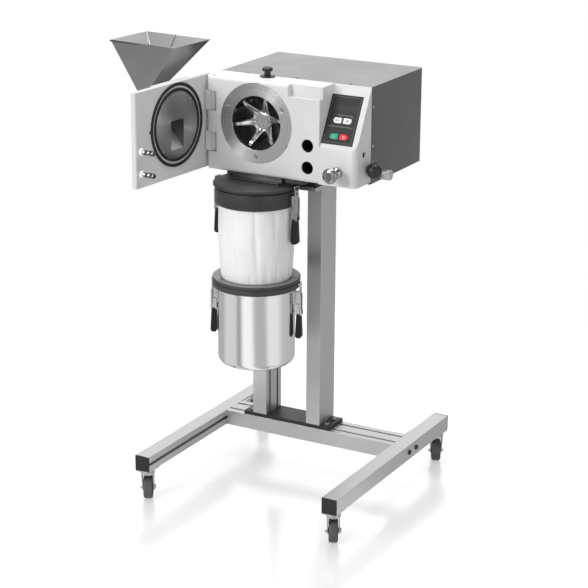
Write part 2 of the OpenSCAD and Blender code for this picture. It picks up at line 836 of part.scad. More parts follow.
module rotor() color("#a7a9ab") difference() {
    union() {
        at_axis(chamber_back - rotor_back - rotor_d) for (i = [0 : rotor_arms - 1])
            rotate([0, -rotor_turn - i * 360 / rotor_arms, 0]) intersection() {
                rod_y(rotor_r, rotor_d);
                translate([0, rotor_d, 0]) rotate([90, 0, 0]) linear_extrude(rotor_d)
                    polygon([[rotor_disc_r - arm_in, -arm_root / 2], [rotor_disc_r + arm_swell, -arm_root / 2],
                        [rotor_r + overrun, -arm_tip], [rotor_r + overrun, 0],
                        [rotor_disc_r + arm_swell, arm_root / 2], [rotor_disc_r - arm_in, arm_root / 2]]);
            }
        at_axis(chamber_back - rotor_back - rotor_d + hub_front) rod_y(rotor_hub_r, rotor_d - hub_front + hub_back);
    }
    at_axis(chamber_back - rotor_back - rotor_d - overrun) rod_y(rotor_disc_r, hub_front + overrun + rotor_sink);
    at_axis(chamber_back - rotor_back - rotor_d) rod_y(shaft_r + fit_gap, rotor_d + hub_back + overrun);
}

module rotor_shaft() color("#c4c6c8") {
    front = chamber_back - rotor_back - rotor_d + hub_front;
    at_axis(front) rod_y(shaft_r, motor_y + shaft_in_motor - front);
    difference() {
        at_axis(front - cap_t) rod_y(rotor_disc_r - body_gap, cap_t);
        for (x = [-slot_hole_at, slot_hole_at]) translate([mill_x + x, front - cap_t - overrun, axis_z])
            rod_y(slot_hole_r, cap_t);
    }
}

module shaft_bearings() color("#9da0a3") at_axis(chamber_back)
    tube_y(bearing_r, shaft_r + fit_gap, back_t);

module motor() color("#5a6470") difference() {
    union() {
        at_axis(motor_y) rod_y(motor_r, motor_l);
        at_axis(motor_y + motor_l) rod_y(motor_cap_r, motor_cap_l);
        translate([mill_x - motor_foot_w / 2, motor_y + motor_foot_y, case_z + case_wall])
            cube([motor_foot_w, motor_foot_l, axis_z - case_z - case_wall]);
    }
    at_axis(motor_y - overrun) rod_y(shaft_r + fit_gap, shaft_in_motor + 2 * overrun);
}

module outlet_adapter() color("#1c1c1c") difference() {
    union() {
        translate([mill_x - adapter_half, front_y + adapter_front, adapter_z])
            cube([2 * adapter_half, plate_front - front_y - adapter_front, adapter_h]);
        translate([mill_x - adapter_side, front_y + adapter_side_front, adapter_z])
            cube([2 * adapter_side, plate_front - front_y - adapter_side_front, adapter_h]);
        translate([mill_x - adapter_arm, set_y - catch_half, adapter_z])
            cube([2 * adapter_arm, plate_front - set_y, arm_h]);
        translate([mill_x - catch_r, set_y - catch_half, adapter_z])
            cube([2 * catch_r, 2 * catch_half, catch_h]);
        translate([mill_x - opening_w / 2 - collar_wall, duct_y - opening_d / 2 - collar_wall, lid_top])
            cube([opening_w + 2 * collar_wall, opening_d + 2 * collar_wall, collar_h + overrun]);
    }
    translate([mill_x - opening_w / 2, duct_y - opening_d / 2, lid_top - overrun])
        cube([opening_w, opening_d, collar_h + adapter_h + 2 * overrun]);
}

// Door

module in_door() translate([pin_x, pin_y, 0]) rotate([0, 0, -open_angle]) children();

// Places children on the door's inner face at the mill's axis, with +Y toward the chamber
module on_door() in_door() translate([axis_s, -door_d, axis_z]) children();

module feed_cut(from, to) translate([-feed_w / 2, from, feed_z - axis_z]) cube([feed_w, to - from, feed_h]);

module door() color("#e6e6e6") difference() {
    in_door() {
        translate([(door_w - door_in) / 2, -door_d - door_t / 2, door_z]) linear_extrude(door_h)
            round_rect(door_w + door_in, door_t, door_r);
        translate([axis_s, -door_d - door_t - boss_t / 2, door_z + boss_z])
            linear_extrude(door_h - boss_z) {
                round_rect(2 * boss_half, boss_t, door_r);
                translate([-boss_half + door_r, 0]) square([2 * (boss_half - door_r), boss_t / 2 + overrun]);
            }
        for (z = knuckle_zs) translate([0, 0, z]) intersection() {
            cylinder(r = knuckle_r, h = knuckle_h);
            union() {
                cylinder(r = barrel_r, h = knuckle_h);
                translate([-knuckle_left, -door_d - overrun, 0])
                    cube([knuckle_left + knuckle_right, door_d + overrun, knuckle_h]);
            }
        }
    }
    in_door() for (z = knuckle_zs) translate([0, 0, z - overrun])
        cylinder(r = pin_r + fit_gap, h = knuckle_h + 2 * overrun);
    on_door() {
        feed_cut(-door_t - boss_t - overrun, overrun);
        for (seal = seals) translate([0, -seal_sunk, 0])
            tube_y(seal[1], seal[0], seal_sunk + overrun);
        translate([0, -seal_sunk, 0]) rod_y(door_plate_r, seal_sunk + overrun);
    }
}

module door_plate() color("#5e6062") on_door() {
    difference() {
        translate([0, -seal_sunk, 0]) rod_y(door_plate_r, seal_sunk + door_plate_out);
        feed_cut(-seal_sunk - overrun, door_plate_out + overrun);
    }
    for (x = [-door_screw_at, door_screw_at], z = [-door_screw_at, door_screw_at])
        translate([x, door_plate_out - overrun, z]) rod_y(door_screw_r, door_screw_h);
}

module door_seals() color("#141414") on_door() for (seal = seals)
    translate([0, -seal_sunk, 0]) tube_y(seal[1], seal[0], seal_sunk + seal_h);

module latch_bolts() color("#cfd1d3") for (z = latch_zs)
    in_door() translate([latch_s, -door_d, z]) rotate([-90, 0, 0]) {
        cylinder(r1 = cone_r, r2 = cone_top_r, h = cone_h);
        cylinder(r = bolt_r, h = bolt_l);
        translate([0, 0, bolt_l - bolt_head_h]) cylinder(r = bolt_head_r, h = bolt_head_h);
    }

// A solid between two level rectangles, each given as middle s, middle off, width, depth and height
module funnel(top, low) {
    function corners(p) = [for (c = [[-1, -1], [1, -1], [1, 1], [-1, 1]])
        [p[0] + c[0] * p[2] / 2, -door_d - p[1] + c[1] * p[3] / 2, p[4]]];
    polyhedron(concat(corners(low), corners(top)),
        [[0, 1, 2, 3], [7, 6, 5, 4], [0, 4, 5, 1], [1, 5, 6, 2], [2, 6, 7, 3], [3, 7, 4, 0]]);
}

// The chute's outline in off and height, drawn in by an inset
module chute_2d(inset) {
    near = door_t + boss_t;
    far = neck_off + neck_d / 2;
    polygon([[near - (inset > 0 ? overrun : 0), feed_z + inset], [near, feed_z + inset],
        [far - inset, neck_z - chute_drop + inset], [far - inset, neck_z + (inset > 0 ? overrun : 0)],
        [neck_off - neck_d / 2 + inset, neck_z + (inset > 0 ? overrun : 0)],
        [near, feed_z + feed_h - inset], [near - (inset > 0 ? overrun : 0), feed_z + feed_h - inset]]);
}

module chute(inset) translate([axis_s + neck_w / 2 - inset, -door_d, 0]) rotate([90, 0, -90])
    linear_extrude(neck_w - 2 * inset) chute_2d(inset);

module hopper() color("#c9cbcd") in_door() difference() {
    union() {
        funnel([mouth_s, mouth_off, mouth_w, mouth_d, rim_z], [axis_s, neck_off, neck_w, neck_d, neck_z]);
        translate([mouth_s - mouth_w / 2 - rim_edge, -door_d - mouth_off - mouth_d / 2 - rim_edge,
            rim_z - rim_edge_h])
            cube([mouth_w + 2 * rim_edge, mouth_d + 2 * rim_edge, rim_edge_h]);
        chute(0);
    }
    funnel([mouth_s, mouth_off, mouth_w - 2 * sheet_t, mouth_d - 2 * sheet_t, rim_z + fit_gap],
        [axis_s, neck_off, neck_w - 2 * sheet_t, neck_d - 2 * sheet_t, neck_z - fit_gap]);
    translate([mouth_s - mouth_w / 2 + sheet_t, -door_d - mouth_off - mouth_d / 2 + sheet_t, rim_z])
        cube([mouth_w - 2 * sheet_t, mouth_d - 2 * sheet_t, overrun]);
    chute(sheet_t);
}

// Collecting set

module at_set(z) translate([mill_x, set_y, z]) children();

module groove(r, z) at_set(z) difference() {
    cylinder(r = r + overrun, h = groove_h);
    translate([0, 0, -overrun]) cylinder(r = r - groove_d, h = groove_h + 2 * overrun);
}

module lid() color("#2a2a2a") difference() {
    at_set(lid_z) cylinder(r = lid_r, h = lid_h);
    at_set(lid_z - overrun) cylinder(r = lid_r - lid_wall, h = lid_h - lid_top_t + overrun);
    groove(lid_r, lid_z + lid_groove_up);
    translate([mill_x - opening_w / 2, duct_y - opening_d / 2, lid_top - lid_top_t - overrun])
        cube([opening_w, opening_d, lid_top_t + 2 * overrun]);
}

// Radius of the sleeve's outer side at a turn and a share of its height
function sleeve_at(turn, share) =
    sleeve_r - fold_deep - sleeve_hem * pow(1 - share, 2)
    + fold_deep * sin(180 * share) * (0.6 * cos(fold_n * turn) + 0.4 * sin((fold_n - 6) * turn + 40));

module filter_sleeve() {
    height = sleeve_h - 2 * body_gap;
    function ring(k, inset) = [for (i = [0 : sleeve_sides - 1]) let (turn = i * 360 / sleeve_sides,
        share = k / (sleeve_rings - 1), r = sleeve_at(turn, share) - inset)
        [r * cos(turn), r * sin(turn), share * height]];
    outer = [for (k = [0 : sleeve_rings - 1]) each ring(k, 0)];
    inner = [for (k = [0 : sleeve_rings - 1]) each ring(k, sleeve_wall)];
    count = sleeve_sides * sleeve_rings;
    function at(k, i) = k * sleeve_sides + i % sleeve_sides;
    walls = [for (k = [0 : sleeve_rings - 2], i = [0 : sleeve_sides - 1]) each [
        [at(k, i), at(k + 1, i), at(k + 1, i + 1)], [at(k, i), at(k + 1, i + 1), at(k, i + 1)],
        [count + at(k, i), count + at(k + 1, i + 1), count + at(k + 1, i)],
        [count + at(k, i), count + at(k, i + 1), count + at(k + 1, i + 1)]]];
    top = sleeve_rings - 1;
    ends = [for (i = [0 : sleeve_sides - 1]) each [
        [at(0, i), at(0, i + 1), count + at(0, i + 1)], [at(0, i), count + at(0, i + 1), count + at(0, i)],
        [at(top, i), count + at(top, i + 1), at(top, i + 1)],
        [at(top, i), count + at(top, i), count + at(top, i + 1)]]];
    color("#f0f0f0") at_set(band_top + body_gap) polyhedron(concat(outer, inner), concat(walls, ends));
}

module lower_ring() color("#4a4a4a") {
    difference() {
        at_set(band_z) cylinder(r = band_r, h = band_h);
        at_set(band_z - overrun) cylinder(r = band_in, h = band_h + 2 * overrun);
        groove(band_r, band_z + band_groove_up);
    }
    for (side = [0, 180]) at_set(band_z + band_catch_up - catch_h) rotate([0, 0, side + lower_turn])
        translate([band_r - groove_d - overrun, -catch_half, 0])
            cube([catch_r - band_r + groove_d + overrun, 2 * catch_half, catch_h]);
}

module vessel_2d(inset) {
    r = vessel_r - inset;
    round = vessel_round - inset;
    translate([0, vessel_z + inset]) square([r - round, round]);
    intersection() {
        translate([r - round, vessel_z + inset + round]) circle(round);
        translate([r - round, vessel_z + inset]) square(round);
    }
    translate([0, vessel_z + inset + round])
        square([r, vessel_h - inset - round + (inset > 0 ? overrun : 0)]);
}

module vessel() color("#c4c6c8") translate([mill_x, set_y, 0]) rotate_extrude() difference() {
    union() {
        vessel_2d(0);
        translate([0, band_z - vessel_lip_h]) square([vessel_r + vessel_lip, vessel_lip_h]);
    }
    vessel_2d(vessel_wall);
}

// Each clamp's turn about the set's axis, its carrier's radius, pivot height and cross wire height
clamps = [[180, lid_r, upper_pivot_z, upper_wire_z], [0, lid_r, upper_pivot_z, upper_wire_z],
    [180 + lower_turn, vessel_r, lower_pivot_z, lower_wire_z],
    [lower_turn, vessel_r, lower_pivot_z, lower_wire_z]];

module at_clamp(clamp) translate([mill_x, set_y, clamp[2]]) rotate([0, 0, clamp[0]]) children();

module tangent_rod(x, z, r, half) translate([x, -half, z]) rod_y(r, 2 * half);

module clamp_base(clamp) difference() {
    union() {
        translate([0, -base_half, -base_down]) cube([pivot_r + base_out, 2 * base_half, base_up + base_down]);
        translate([0, -base_flange, base_up / 4])
            cube([clamp[1] + base_flange_t, 2 * base_flange, base_up * 3 / 4]);
        tangent_rod(pivot_r, 0, clamp_pin_r, cheek_out + body_gap);
    }
    translate([0, 0, -base_up]) cylinder(r = clamp[1] + fit_gap, h = 3 * base_up);
}

module clamp_bases() color("#c4c6c8") for (clamp = clamps) at_clamp(clamp) clamp_base(clamp);

module clamp_lever(clamp) color("#3a3a3a") at_clamp(clamp) {
    difference() {
        for (y = [-cheek_out, cheek_in]) translate([pivot_r, y, 0]) rotate([90, 0, 0])
            translate([0, 0, cheek_in - cheek_out]) linear_extrude(cheek_out - cheek_in) {
                circle(lever_eye_r);
                translate([loop_out, -loop_down]) circle(lever_eye_r);
                polygon([[-lever_eye_r, 0], [lever_eye_r, 0], [loop_out + lever_eye_r, -loop_down],
                    [handle_out, -handle_start - overrun], [-handle_in, -handle_start - overrun]]);
            }
        tangent_rod(pivot_r, 0, clamp_pin_r + fit_gap, handle_half);
        tangent_rod(loop_r, -loop_down, wire_r + fit_gap, handle_half);
    }
    translate([pivot_r - handle_in, -handle_half, -handle_start - handle_l])
        cube([handle_in + handle_out, 2 * handle_half, handle_l]);
}

module clamp_loop(clamp) color("#cfd1d3") at_clamp(clamp) {
    top = clamp[3] - clamp[2];
    for (side = [-1, 1]) {
        translate([loop_r, side * leg_at, -loop_down]) {
            cylinder(r = wire_r, h = top + loop_down);
            sphere(wire_r);
        }
        translate([loop_r, side * leg_at, top]) sphere(wire_r);
        translate([loop_r, side > 0 ? cheek_in : -leg_at, -loop_down]) rod_y(wire_r, leg_at - cheek_in);
    }
    tangent_rod(loop_r, top, wire_r, leg_at);
}

module upper_left_lever() clamp_lever(clamps[0]);

module upper_right_lever() clamp_lever(clamps[1]);

module lower_left_lever() clamp_lever(clamps[2]);

module lower_right_lever() clamp_lever(clamps[3]);

module upper_left_loop() clamp_loop(clamps[0]);

module upper_right_loop() clamp_loop(clamps[1]);

module lower_left_loop() clamp_loop(clamps[2]);

module lower_right_loop() clamp_loop(clamps[3]);

left_leg();
right_leg();
crossbeam();
end_caps();
stand_brackets();
fasteners();
foot_plate();
left_column();
right_column();
support_plate();
chassis();
front_left_fork();
front_right_fork();
rear_left_fork();
rear_right_fork();
front_left_wheel();
front_right_wheel();
rear_left_wheel();
rear_right_wheel();
casing();
front_shell();
power_inlet();
chamber();
chamber_ring();
sieve();
stator_bars();
rotor();
rotor_shaft();
shaft_bearings();
motor();
outlet_adapter();
control_panel();
minus_key();
plus_key();
start_key();
stop_key();
front_knob();
pull_knob();
lever_arm();
lever_ball();
latch_sockets();
hinge_pin();
door();
door_plate();
door_seals();
latch_bolts();
hopper();
lid();
filter_sleeve();
lower_ring();
vessel();
clamp_bases();
upper_left_lever();
upper_right_lever();
lower_left_lever();
lower_right_lever();
upper_left_loop();
upper_right_loop();
lower_left_loop();
lower_right_loop();
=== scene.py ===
import json
import math
import random

import bmesh
import bpy
from mathutils import Matrix, Vector, noise


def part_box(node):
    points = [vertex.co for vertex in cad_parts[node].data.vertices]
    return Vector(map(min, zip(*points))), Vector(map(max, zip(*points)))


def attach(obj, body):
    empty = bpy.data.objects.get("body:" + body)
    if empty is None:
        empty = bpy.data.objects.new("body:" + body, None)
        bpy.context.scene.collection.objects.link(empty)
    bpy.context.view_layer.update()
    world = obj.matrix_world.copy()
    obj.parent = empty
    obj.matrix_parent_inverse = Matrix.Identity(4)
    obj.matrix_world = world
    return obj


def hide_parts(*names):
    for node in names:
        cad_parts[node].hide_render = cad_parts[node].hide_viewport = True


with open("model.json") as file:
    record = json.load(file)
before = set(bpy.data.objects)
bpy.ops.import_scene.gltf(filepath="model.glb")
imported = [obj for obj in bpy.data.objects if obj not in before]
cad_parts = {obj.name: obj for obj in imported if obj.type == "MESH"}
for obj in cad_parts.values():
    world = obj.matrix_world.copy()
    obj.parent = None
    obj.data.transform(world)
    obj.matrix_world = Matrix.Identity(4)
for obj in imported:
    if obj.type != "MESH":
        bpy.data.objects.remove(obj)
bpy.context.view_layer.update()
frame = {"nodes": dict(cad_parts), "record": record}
nodes = frame["nodes"]
bodyOf = {n: b for b, members in frame["record"]["behaviour"]["bodies"].items() for n in members}
slotOf = {s["node"]: s["material_slot"] for s in frame["record"]["subparts"]}
mm = 0.001
print("stage: frame loaded,", len(nodes), "nodes")


def paired(operation):  # an operator on sockets, and the same with its sides swapped
    return (lambda one, other: one.calc(operation, one, other)), (lambda one, other: one.calc(operation, other, one))


class Wire:  # one socket of a node tree, with arithmetic
    def __init__(self, tree, socket):
        self.tree = tree
        self.socket = socket

    def node(self, kind, settings=None, inputs=None, out=0):
        made = self.tree.nodes.new(kind)
        for key, value in (settings or {}).items():
            if key == "stops":
                ramp = made.color_ramp
                while len(ramp.elements) < len(value):
                    ramp.elements.new(0.5)
                for element, (place, tone) in zip(ramp.elements, value):
                    element.position = place
                    element.color = (tone, tone, tone, 1)
            else:
                setattr(made, key, value)
        for key, value in (inputs or {}).items():
            if isinstance(value, Wire):
                self.tree.links.new(value.socket, made.inputs[key])
            else:
                made.inputs[key].default_value = value
        return Wire(self.tree, made.outputs[out])

    def calc(self, operation, first, second=0.0):
        return self.node("ShaderNodeMath", {"operation": operation}, {0: first, 1: second})

    def part(self, axis):
        return self.node("ShaderNodeSeparateXYZ", None, {0: self}, axis)

    __add__, __radd__ = paired("ADD")
    __sub__, __rsub__ = paired("SUBTRACT")
    __mul__, __rmul__ = paired("MULTIPLY")
    __truediv__, __rtruediv__ = paired("DIVIDE")
    __pow__, __rpow__ = paired("POWER")


def grey(v):
    return (v, v, v, 1.0)


def mixTone(mask, low, high):  # colours by a mask, low where it is 0
    return mask.node("ShaderNodeMix", {"data_type": "RGBA"}, {0: mask, 6: low, 7: high}, 2)


def stretched(place, scales, detail=3.0, rough=0.55):  # noise, drawn out along an axis where the scales differ
    scales = scales if isinstance(scales, tuple) else (scales, scales, scales)
    moved = place.node("ShaderNodeMapping", None, {0: place, 3: scales})
    return place.node("ShaderNodeTexNoise", None,
                      {"Vector": moved, "Scale": 1.0, "Detail": detail, "Roughness": rough})


def ranged(wire, low, high, fromLow=0.3, fromHigh=0.7):
    return wire.node("ShaderNodeMapRange", None, {0: wire, 1: fromLow, 2: fromHigh, 3: low, 4: high})


def bumped(height, strength, distance):
    return height.node("ShaderNodeBump", None, {"Strength": strength, "Distance": distance, "Height": height})


# Finishes: each recipe says what varies over the surface

def powder(place, base, roughLow, roughHigh, spread):
    broad = stretched(place, 9, 2.0)
    fine = stretched(place, 1400, 1.0)
    peel = stretched(place, 420, 2.0)
    return {"Base Color": mixTone(ranged(broad, 0, 1), grey(base * (1 - spread)), grey(base * (1 + spread))),
            "Roughness": ranged(broad + fine * 0.2, roughLow, roughHigh),
            "Normal": bumped(peel * 0.7 + fine * 0.3, 0.12, 0.00025)}


def brushed(place, base, roughLow, roughHigh, scales, spread=0.06, depth=0.3):
    lines = stretched(place, scales, 4.0, 0.65)
    cloud = stretched(place, 14)
    level = ranged(lines, 0, 1, 0.25, 0.75) * 0.7 + cloud * 0.3
    return {"Base Color": mixTone(level, grey(base * (1 - spread)), grey(base * (1 + spread))),
            "Roughness": ranged(lines * 0.6 + cloud * 0.4, roughLow, roughHigh),
            "Normal": bumped(lines, depth, 0.00006)}


def turnedWithPaintedHighlight(place, base, roughLow, roughHigh, centre, angle, low, high, tilt=0.8, along=1):  # lathe marks round an axis, and a painted highlight wedge in the base colour
    first, pitch = 1 - along, 2600.0
    u = place.part(first) - centre[first]
    v = place.part(2) - centre[2]
    radius = (u * u + v * v) ** 0.5
    track = radius.node("ShaderNodeCombineXYZ", None, {0: radius * pitch, 1: place.part(along) * pitch})
    marks = radius.node("ShaderNodeTexNoise", None, {"Vector": track, "Scale": 1.0, "Detail": 3.0})
    # painted highlight: a bright wedge and its opposite painted into the base colour, standing for where the marks lie
    # square to the light
    even = (u * u - v * v) / (radius * radius + 1e-9)
    odd = u * v * 2.0 / (radius * radius + 1e-9)
    paintedHighlight = even * math.cos(math.radians(2 * angle)) + odd * math.sin(math.radians(2 * angle))
    paintedHighlight = paintedHighlight.calc("MAXIMUM", paintedHighlight)
    paintedHighlight = paintedHighlight ** 2.0 * 0.5 + paintedHighlight ** 24.0 * 0.6
    # the base colour mixes the lathe marks with the painted highlight wedge
    level = (marks * 0.6 + stretched(place, 18) * 0.4) * 0.3 + ranged(paintedHighlight, low, high, 0.0, 1.0)
    lean = (marks - 0.5) * tilt / (radius + 0.001)
    slant = lean.node("ShaderNodeCombineXYZ", None, {first: u * lean, 2: v * lean})
    slant = slant.node("ShaderNodeVectorTransform", {"vector_type": "VECTOR", "convert_from": "OBJECT",
                                                     "convert_to": "WORLD"}, {0: slant})
    face = slant.node("ShaderNodeNewGeometry", None, None, 1)
    leant = slant.node("ShaderNodeVectorMath", {"operation": "ADD"}, {0: face, 1: slant})
    return {"Base Color": mixTone(level, grey(base * 0.66), grey(min(1, base * 1.5))),
            "Roughness": ranged(marks, roughLow, roughHigh),
            "Normal": leant.node("ShaderNodeVectorMath", {"operation": "NORMALIZE"}, {0: leant})}


def moulded(place, base, roughLow, roughHigh, depth=0.2, tint=(1, 1, 1), grain=900):
    spark = stretched(place, grain, 2.0)
    cloud = stretched(place, 20)
    low, high = (tuple(base * share * t for t in tint) + (1.0,) for share in (0.85, 1.2))
    return {"Base Color": mixTone(cloud, low, high), "Roughness": ranged(cloud + spark * 0.2, roughLow, roughHigh),
            "Normal": bumped(spark, depth, 0.00012)}


def polished(place, base, roughLow, roughHigh):
    cloud = stretched(place, 60, 4.0)
    hair = stretched(place, (1500, 1500, 200), 2.0)
    return {"Roughness": ranged(cloud * 0.7 + hair * 0.3, roughLow, roughHigh),
            "Base Color": mixTone(cloud, grey(base * 0.96), grey(base * 1.03))}


def wovenCloth(place, base, roughLow, roughHigh):
    uv = place.node("ShaderNodeTexCoord", None, None, 2)
    warp, weft = (uv.calc("SINE", uv.part(axis) * 2600.0) for axis in (0, 1))
    fuzz = stretched(place, 700)
    cloud = stretched(place, (16, 16, 9))
    return {"Base Color": mixTone(ranged(cloud, 0, 1), grey(base * 0.94), grey(base * 1.03)),
            "Roughness": ranged(fuzz, roughLow, roughHigh),
            "Normal": bumped(warp * weft * 0.25 + fuzz * 0.75, 0.35, 0.0003)}


millCentre, plateCentre = ((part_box(n)[0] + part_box(n)[1]) / 2 for n in ("chamber_ring", "door_plate"))

# name: metallic, recipe, base tone, lowest and highest roughness, and what the recipe adds
finishSet = {
    "shellWhite": (0, powder, 0.72, 0.36, 0.46, 0.015),
    "collarWhite": (0, powder, 0.9, 0.36, 0.46, 0.01),
    "casingGrey": (0, powder, 0.024, 0.32, 0.42, 0.04),
    "aluX": (0.85, brushed, 0.6, 0.36, 0.48, (40, 1500, 1500), 0.04, 0.15),
    "aluY": (0.85, brushed, 0.6, 0.36, 0.48, (1500, 40, 1500), 0.04, 0.15),
    "aluZ": (0.85, brushed, 0.6, 0.36, 0.48, (1500, 1500, 40), 0.04, 0.15),
    "zinc": (1, brushed, 0.62, 0.26, 0.4, 300),
    "satinSteel": (1, brushed, 0.62, 0.32, 0.42, (300, 1500, 1500), 0.05, 0.1),
    "darkSteel": (1, brushed, 0.18, 0.32, 0.44, 500),
    "sieveSteel": (1, brushed, 0.4, 0.3, 0.42, 500),
    "vesselSteel": (1, brushed, 0.84, 0.13, 0.23, (60, 60, 2600), 0.04, 0.2),
    # painted shade: a near-black copy of the hopper steel, giving the shade under the rolled lip and along the lap
    "hemSteel": (0.9, brushed, 0.09, 0.36, 0.44, 900, 0.05, 0.1),
    "hopperSteel": (0.95, brushed, 0.34, 0.32, 0.4, 900, 0.05, 0.15),
    "bladeSteel": (1, brushed, 0.55, 0.22, 0.36, (300, 1600, 300)),
    "screwGrey": (1, brushed, 0.32, 0.3, 0.42, 600),
    "feedSteel": (0.9, brushed, 0.26, 0.36, 0.46, 700),
    "slopeSteel": (0.8, brushed, 0.7, 0.3, 0.42, (60, 1500, 1500)),
    # turned rows add the axis centre, the angle of the painted highlight wedge and the low and high of its tone
    "ringSteel": (1, turnedWithPaintedHighlight, 0.84, 0.22, 0.3, millCentre, 58, -0.15, 1.0),
    "discSteel": (1, turnedWithPaintedHighlight, 0.8, 0.2, 0.28, millCentre, 48, -0.1, 1.0),
    "plateSteel": (0.95, turnedWithPaintedHighlight, 0.4, 0.28, 0.36, plateCentre, -20, 0.0, 0.9, 1.0, 0),
    "chrome": (1, polished, 0.74, 0.054, 0.135),
    "knobChrome": (1, polished, 0.34, 0.06, 0.15),
    "boltSteel": (1, polished, 0.16, 0.084, 0.21),
    "clampSteel": (1, polished, 0.46, 0.132, 0.33),
    "seamSteel": (0.6, polished, 0.78, 0.18, 0.45),
    "blackSatin": (0, moulded, 0.013, 0.34, 0.46),
    "blackMatt": (0, moulded, 0.014, 0.5, 0.62),
    "ballBlack": (0, moulded, 0.011, 0.34, 0.44, 0.05),
    "lidBlack": (0, moulded, 0.024, 0.36, 0.46, 0.12, (1, 1, 1), 1300),
    "bandGrey": (0.4, moulded, 0.26, 0.36, 0.44, 0.05),
    "ringGrey": (0, moulded, 0.042, 0.4, 0.5, 0.12, (1, 1, 1), 1300),
    "gripBlack": (0, moulded, 0.003, 0.34, 0.44, 0.08),
    "seal": (0, moulded, 0.005, 0.5, 0.6),
    "tyre": (0, moulded, 0.1, 0.45, 0.6, 0.3),
    "guard": (0, moulded, 0.03, 0.4, 0.5),
    "motorPaint": (0, moulded, 0.08, 0.35, 0.5, 0.2, (0.9, 1.0, 1.2)),
    "screwBlack": (0.3, moulded, 0.03, 0.3, 0.42),
    "keyGreen": (0, moulded, 0.33, 0.36, 0.46, 0.05, (0.02, 1.0, 0.58)),
    "keyRed": (0, moulded, 0.74, 0.36, 0.46, 0.05, (1.0, 0.02, 0.05)),
    "keyPale": (0, moulded, 0.78, 0.36, 0.46, 0.05),
    "display": (0, moulded, 0.02, 0.42, 0.5, 0.01, (0.9, 0.97, 1.0)),
    "panelFilm": (0, moulded, 0.013, 0.5, 0.6, 0.02),
    "line": (0, moulded, 0.4, 0.45, 0.55, 0.02),
    "lineDim": (0, moulded, 0.2, 0.45, 0.55, 0.02),
    "markWhite": (0, moulded, 0.75, 0.45, 0.55, 0.02),
    "cloth": (0, wovenCloth, 0.93, 0.75, 0.95),
}
ownSockets = {"casingGrey": {"Coat Weight": 0.8, "Coat Roughness": 0.26}, "cloth": {"Sheen Weight": 0.35},
              "gripBlack": {"Specular IOR Level": 0.35}}


def newFinish(name, metallic, recipe, base, roughLow, roughHigh, *more):
    made = bpy.data.materials.new(name)
    made.use_nodes = True
    tree = made.node_tree
    shader = tree.nodes["Principled BSDF"]
    sockets = {"Base Color": grey(base), "Roughness": (roughLow + roughHigh) / 2, "Metallic": metallic}
    for key, value in {**sockets, **ownSockets.get(name, {})}.items():
        shader.inputs[key].default_value = value
    place = Wire(tree, tree.nodes.new("ShaderNodeTexCoord").outputs["Object"])
    for key, wire in recipe(place, base, roughLow, roughHigh, *more).items():
        tree.links.new(wire.socket, shader.inputs[key])
    return made


finishes = {name: newFinish(name, *row) for name, row in finishSet.items()}
print("stage: finishes made")


# Mesh helpers: outlines and places are in mm

def newObject(name, data):
    made = bpy.data.objects.new(name, data)
    bpy.context.scene.collection.objects.link(made)
    return made


def placed(name, data, body, replaced=(), sharp=35.0):
    data.shade_smooth()
    data.set_sharp_from_angle(angle=math.radians(sharp))
    piece = newObject(name, data)
    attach(piece, body)
    if replaced:
        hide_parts(*replaced)
    return piece


def joined(bm, name, finish, slotName, body="stand", replaced=(), sharp=35.0, edge=0.0):
    data = bpy.data.meshes.new(name)
    bmesh.ops.recalc_face_normals(bm, faces=bm.faces)
    bm.to_mesh(data)
    bm.free()
    data.materials.append(finishes[finish])
    piece = placed(name, data, body, replaced, sharp)
    if edge:
        bevel = piece.modifiers.new("edge", "BEVEL")
        bevel.width = edge * mm
        bevel.segments = 2
        bevel.limit_method = "ANGLE"
        bevel.angle_limit = math.radians(sharp)
    return piece


def nodeForm(nodeName):  # a CAD node's loose triangles as one clean mesh
    bm = bmesh.new()
    bm.from_mesh(nodes[nodeName].data)
    bmesh.ops.remove_doubles(bm, verts=bm.verts, dist=2e-6)
    bmesh.ops.dissolve_limit(bm, angle_limit=math.radians(0.3), verts=bm.verts, edges=bm.edges)
    bm.normal_update()
    return bm


def dressed(nodeName, finish, edge):  # the same with eased edges
    joined(nodeForm(nodeName), nodeName + "Form", finish, slotOf[nodeName], bodyOf[nodeName], (nodeName,), edge=edge)


def filleted(corners, steps=4):  # an outline in (x, y, radius) with its corners rounded
    points = []
    for i, corner in enumerate(corners):
        here = Vector(corner[:2])
        before = Vector(corners[i - 1][:2]) - here
        after = Vector(corners[(i + 1) % len(corners)][:2]) - here
        radius = corner[2] if len(corner) > 2 else 0
        spread = before.angle(after) if radius else math.pi
        if spread > math.pi - 0.02:
            points.append(here)
            continue
        cut = min(radius / math.tan(spread / 2), 0.49 * before.length, 0.49 * after.length)
        radius = cut * math.tan(spread / 2)
        middle = here + (before.normalized() + after.normalized()).normalized() * (radius / math.sin(spread / 2))
        first = here + before.normalized() * cut - middle
        last = here + after.normalized() * cut - middle
        sweep = math.atan2(first.x * last.y - first.y * last.x, first.dot(last))
        start = math.atan2(first.y, first.x)
        for k in range(steps + 1):
            turn = start + sweep * k / steps
            points.append(middle + radius * Vector((math.cos(turn), math.sin(turn))))
    return points


def oblong(x, y, w, h, r=0):
    return [(x, y, r), (x + w, y, r), (x + w, y + h, r), (x, y + h, r)]


def circle(sides, radius=1.0, x=0.0, y=0.0):
    turns = (2 * math.pi * i / sides for i in range(sides))
    return [(x + radius * math.cos(a), y + radius * math.sin(a)) for a in turns]


def ringOf(bm, points, at=Matrix()):
    return [bm.verts.new(at @ (Vector(p) * mm)) for p in points]


def bridge(bm, low, high):  # faces between two rings, of which one may be a single corner
    for i in range(max(len(low), len(high))):
        j = i + 1
        corners = dict.fromkeys((low[i % len(low)], low[j % len(low)], high[j % len(high)], high[i % len(high)]))
        if len(corners) > 2:
            bm.faces.new(list(corners))


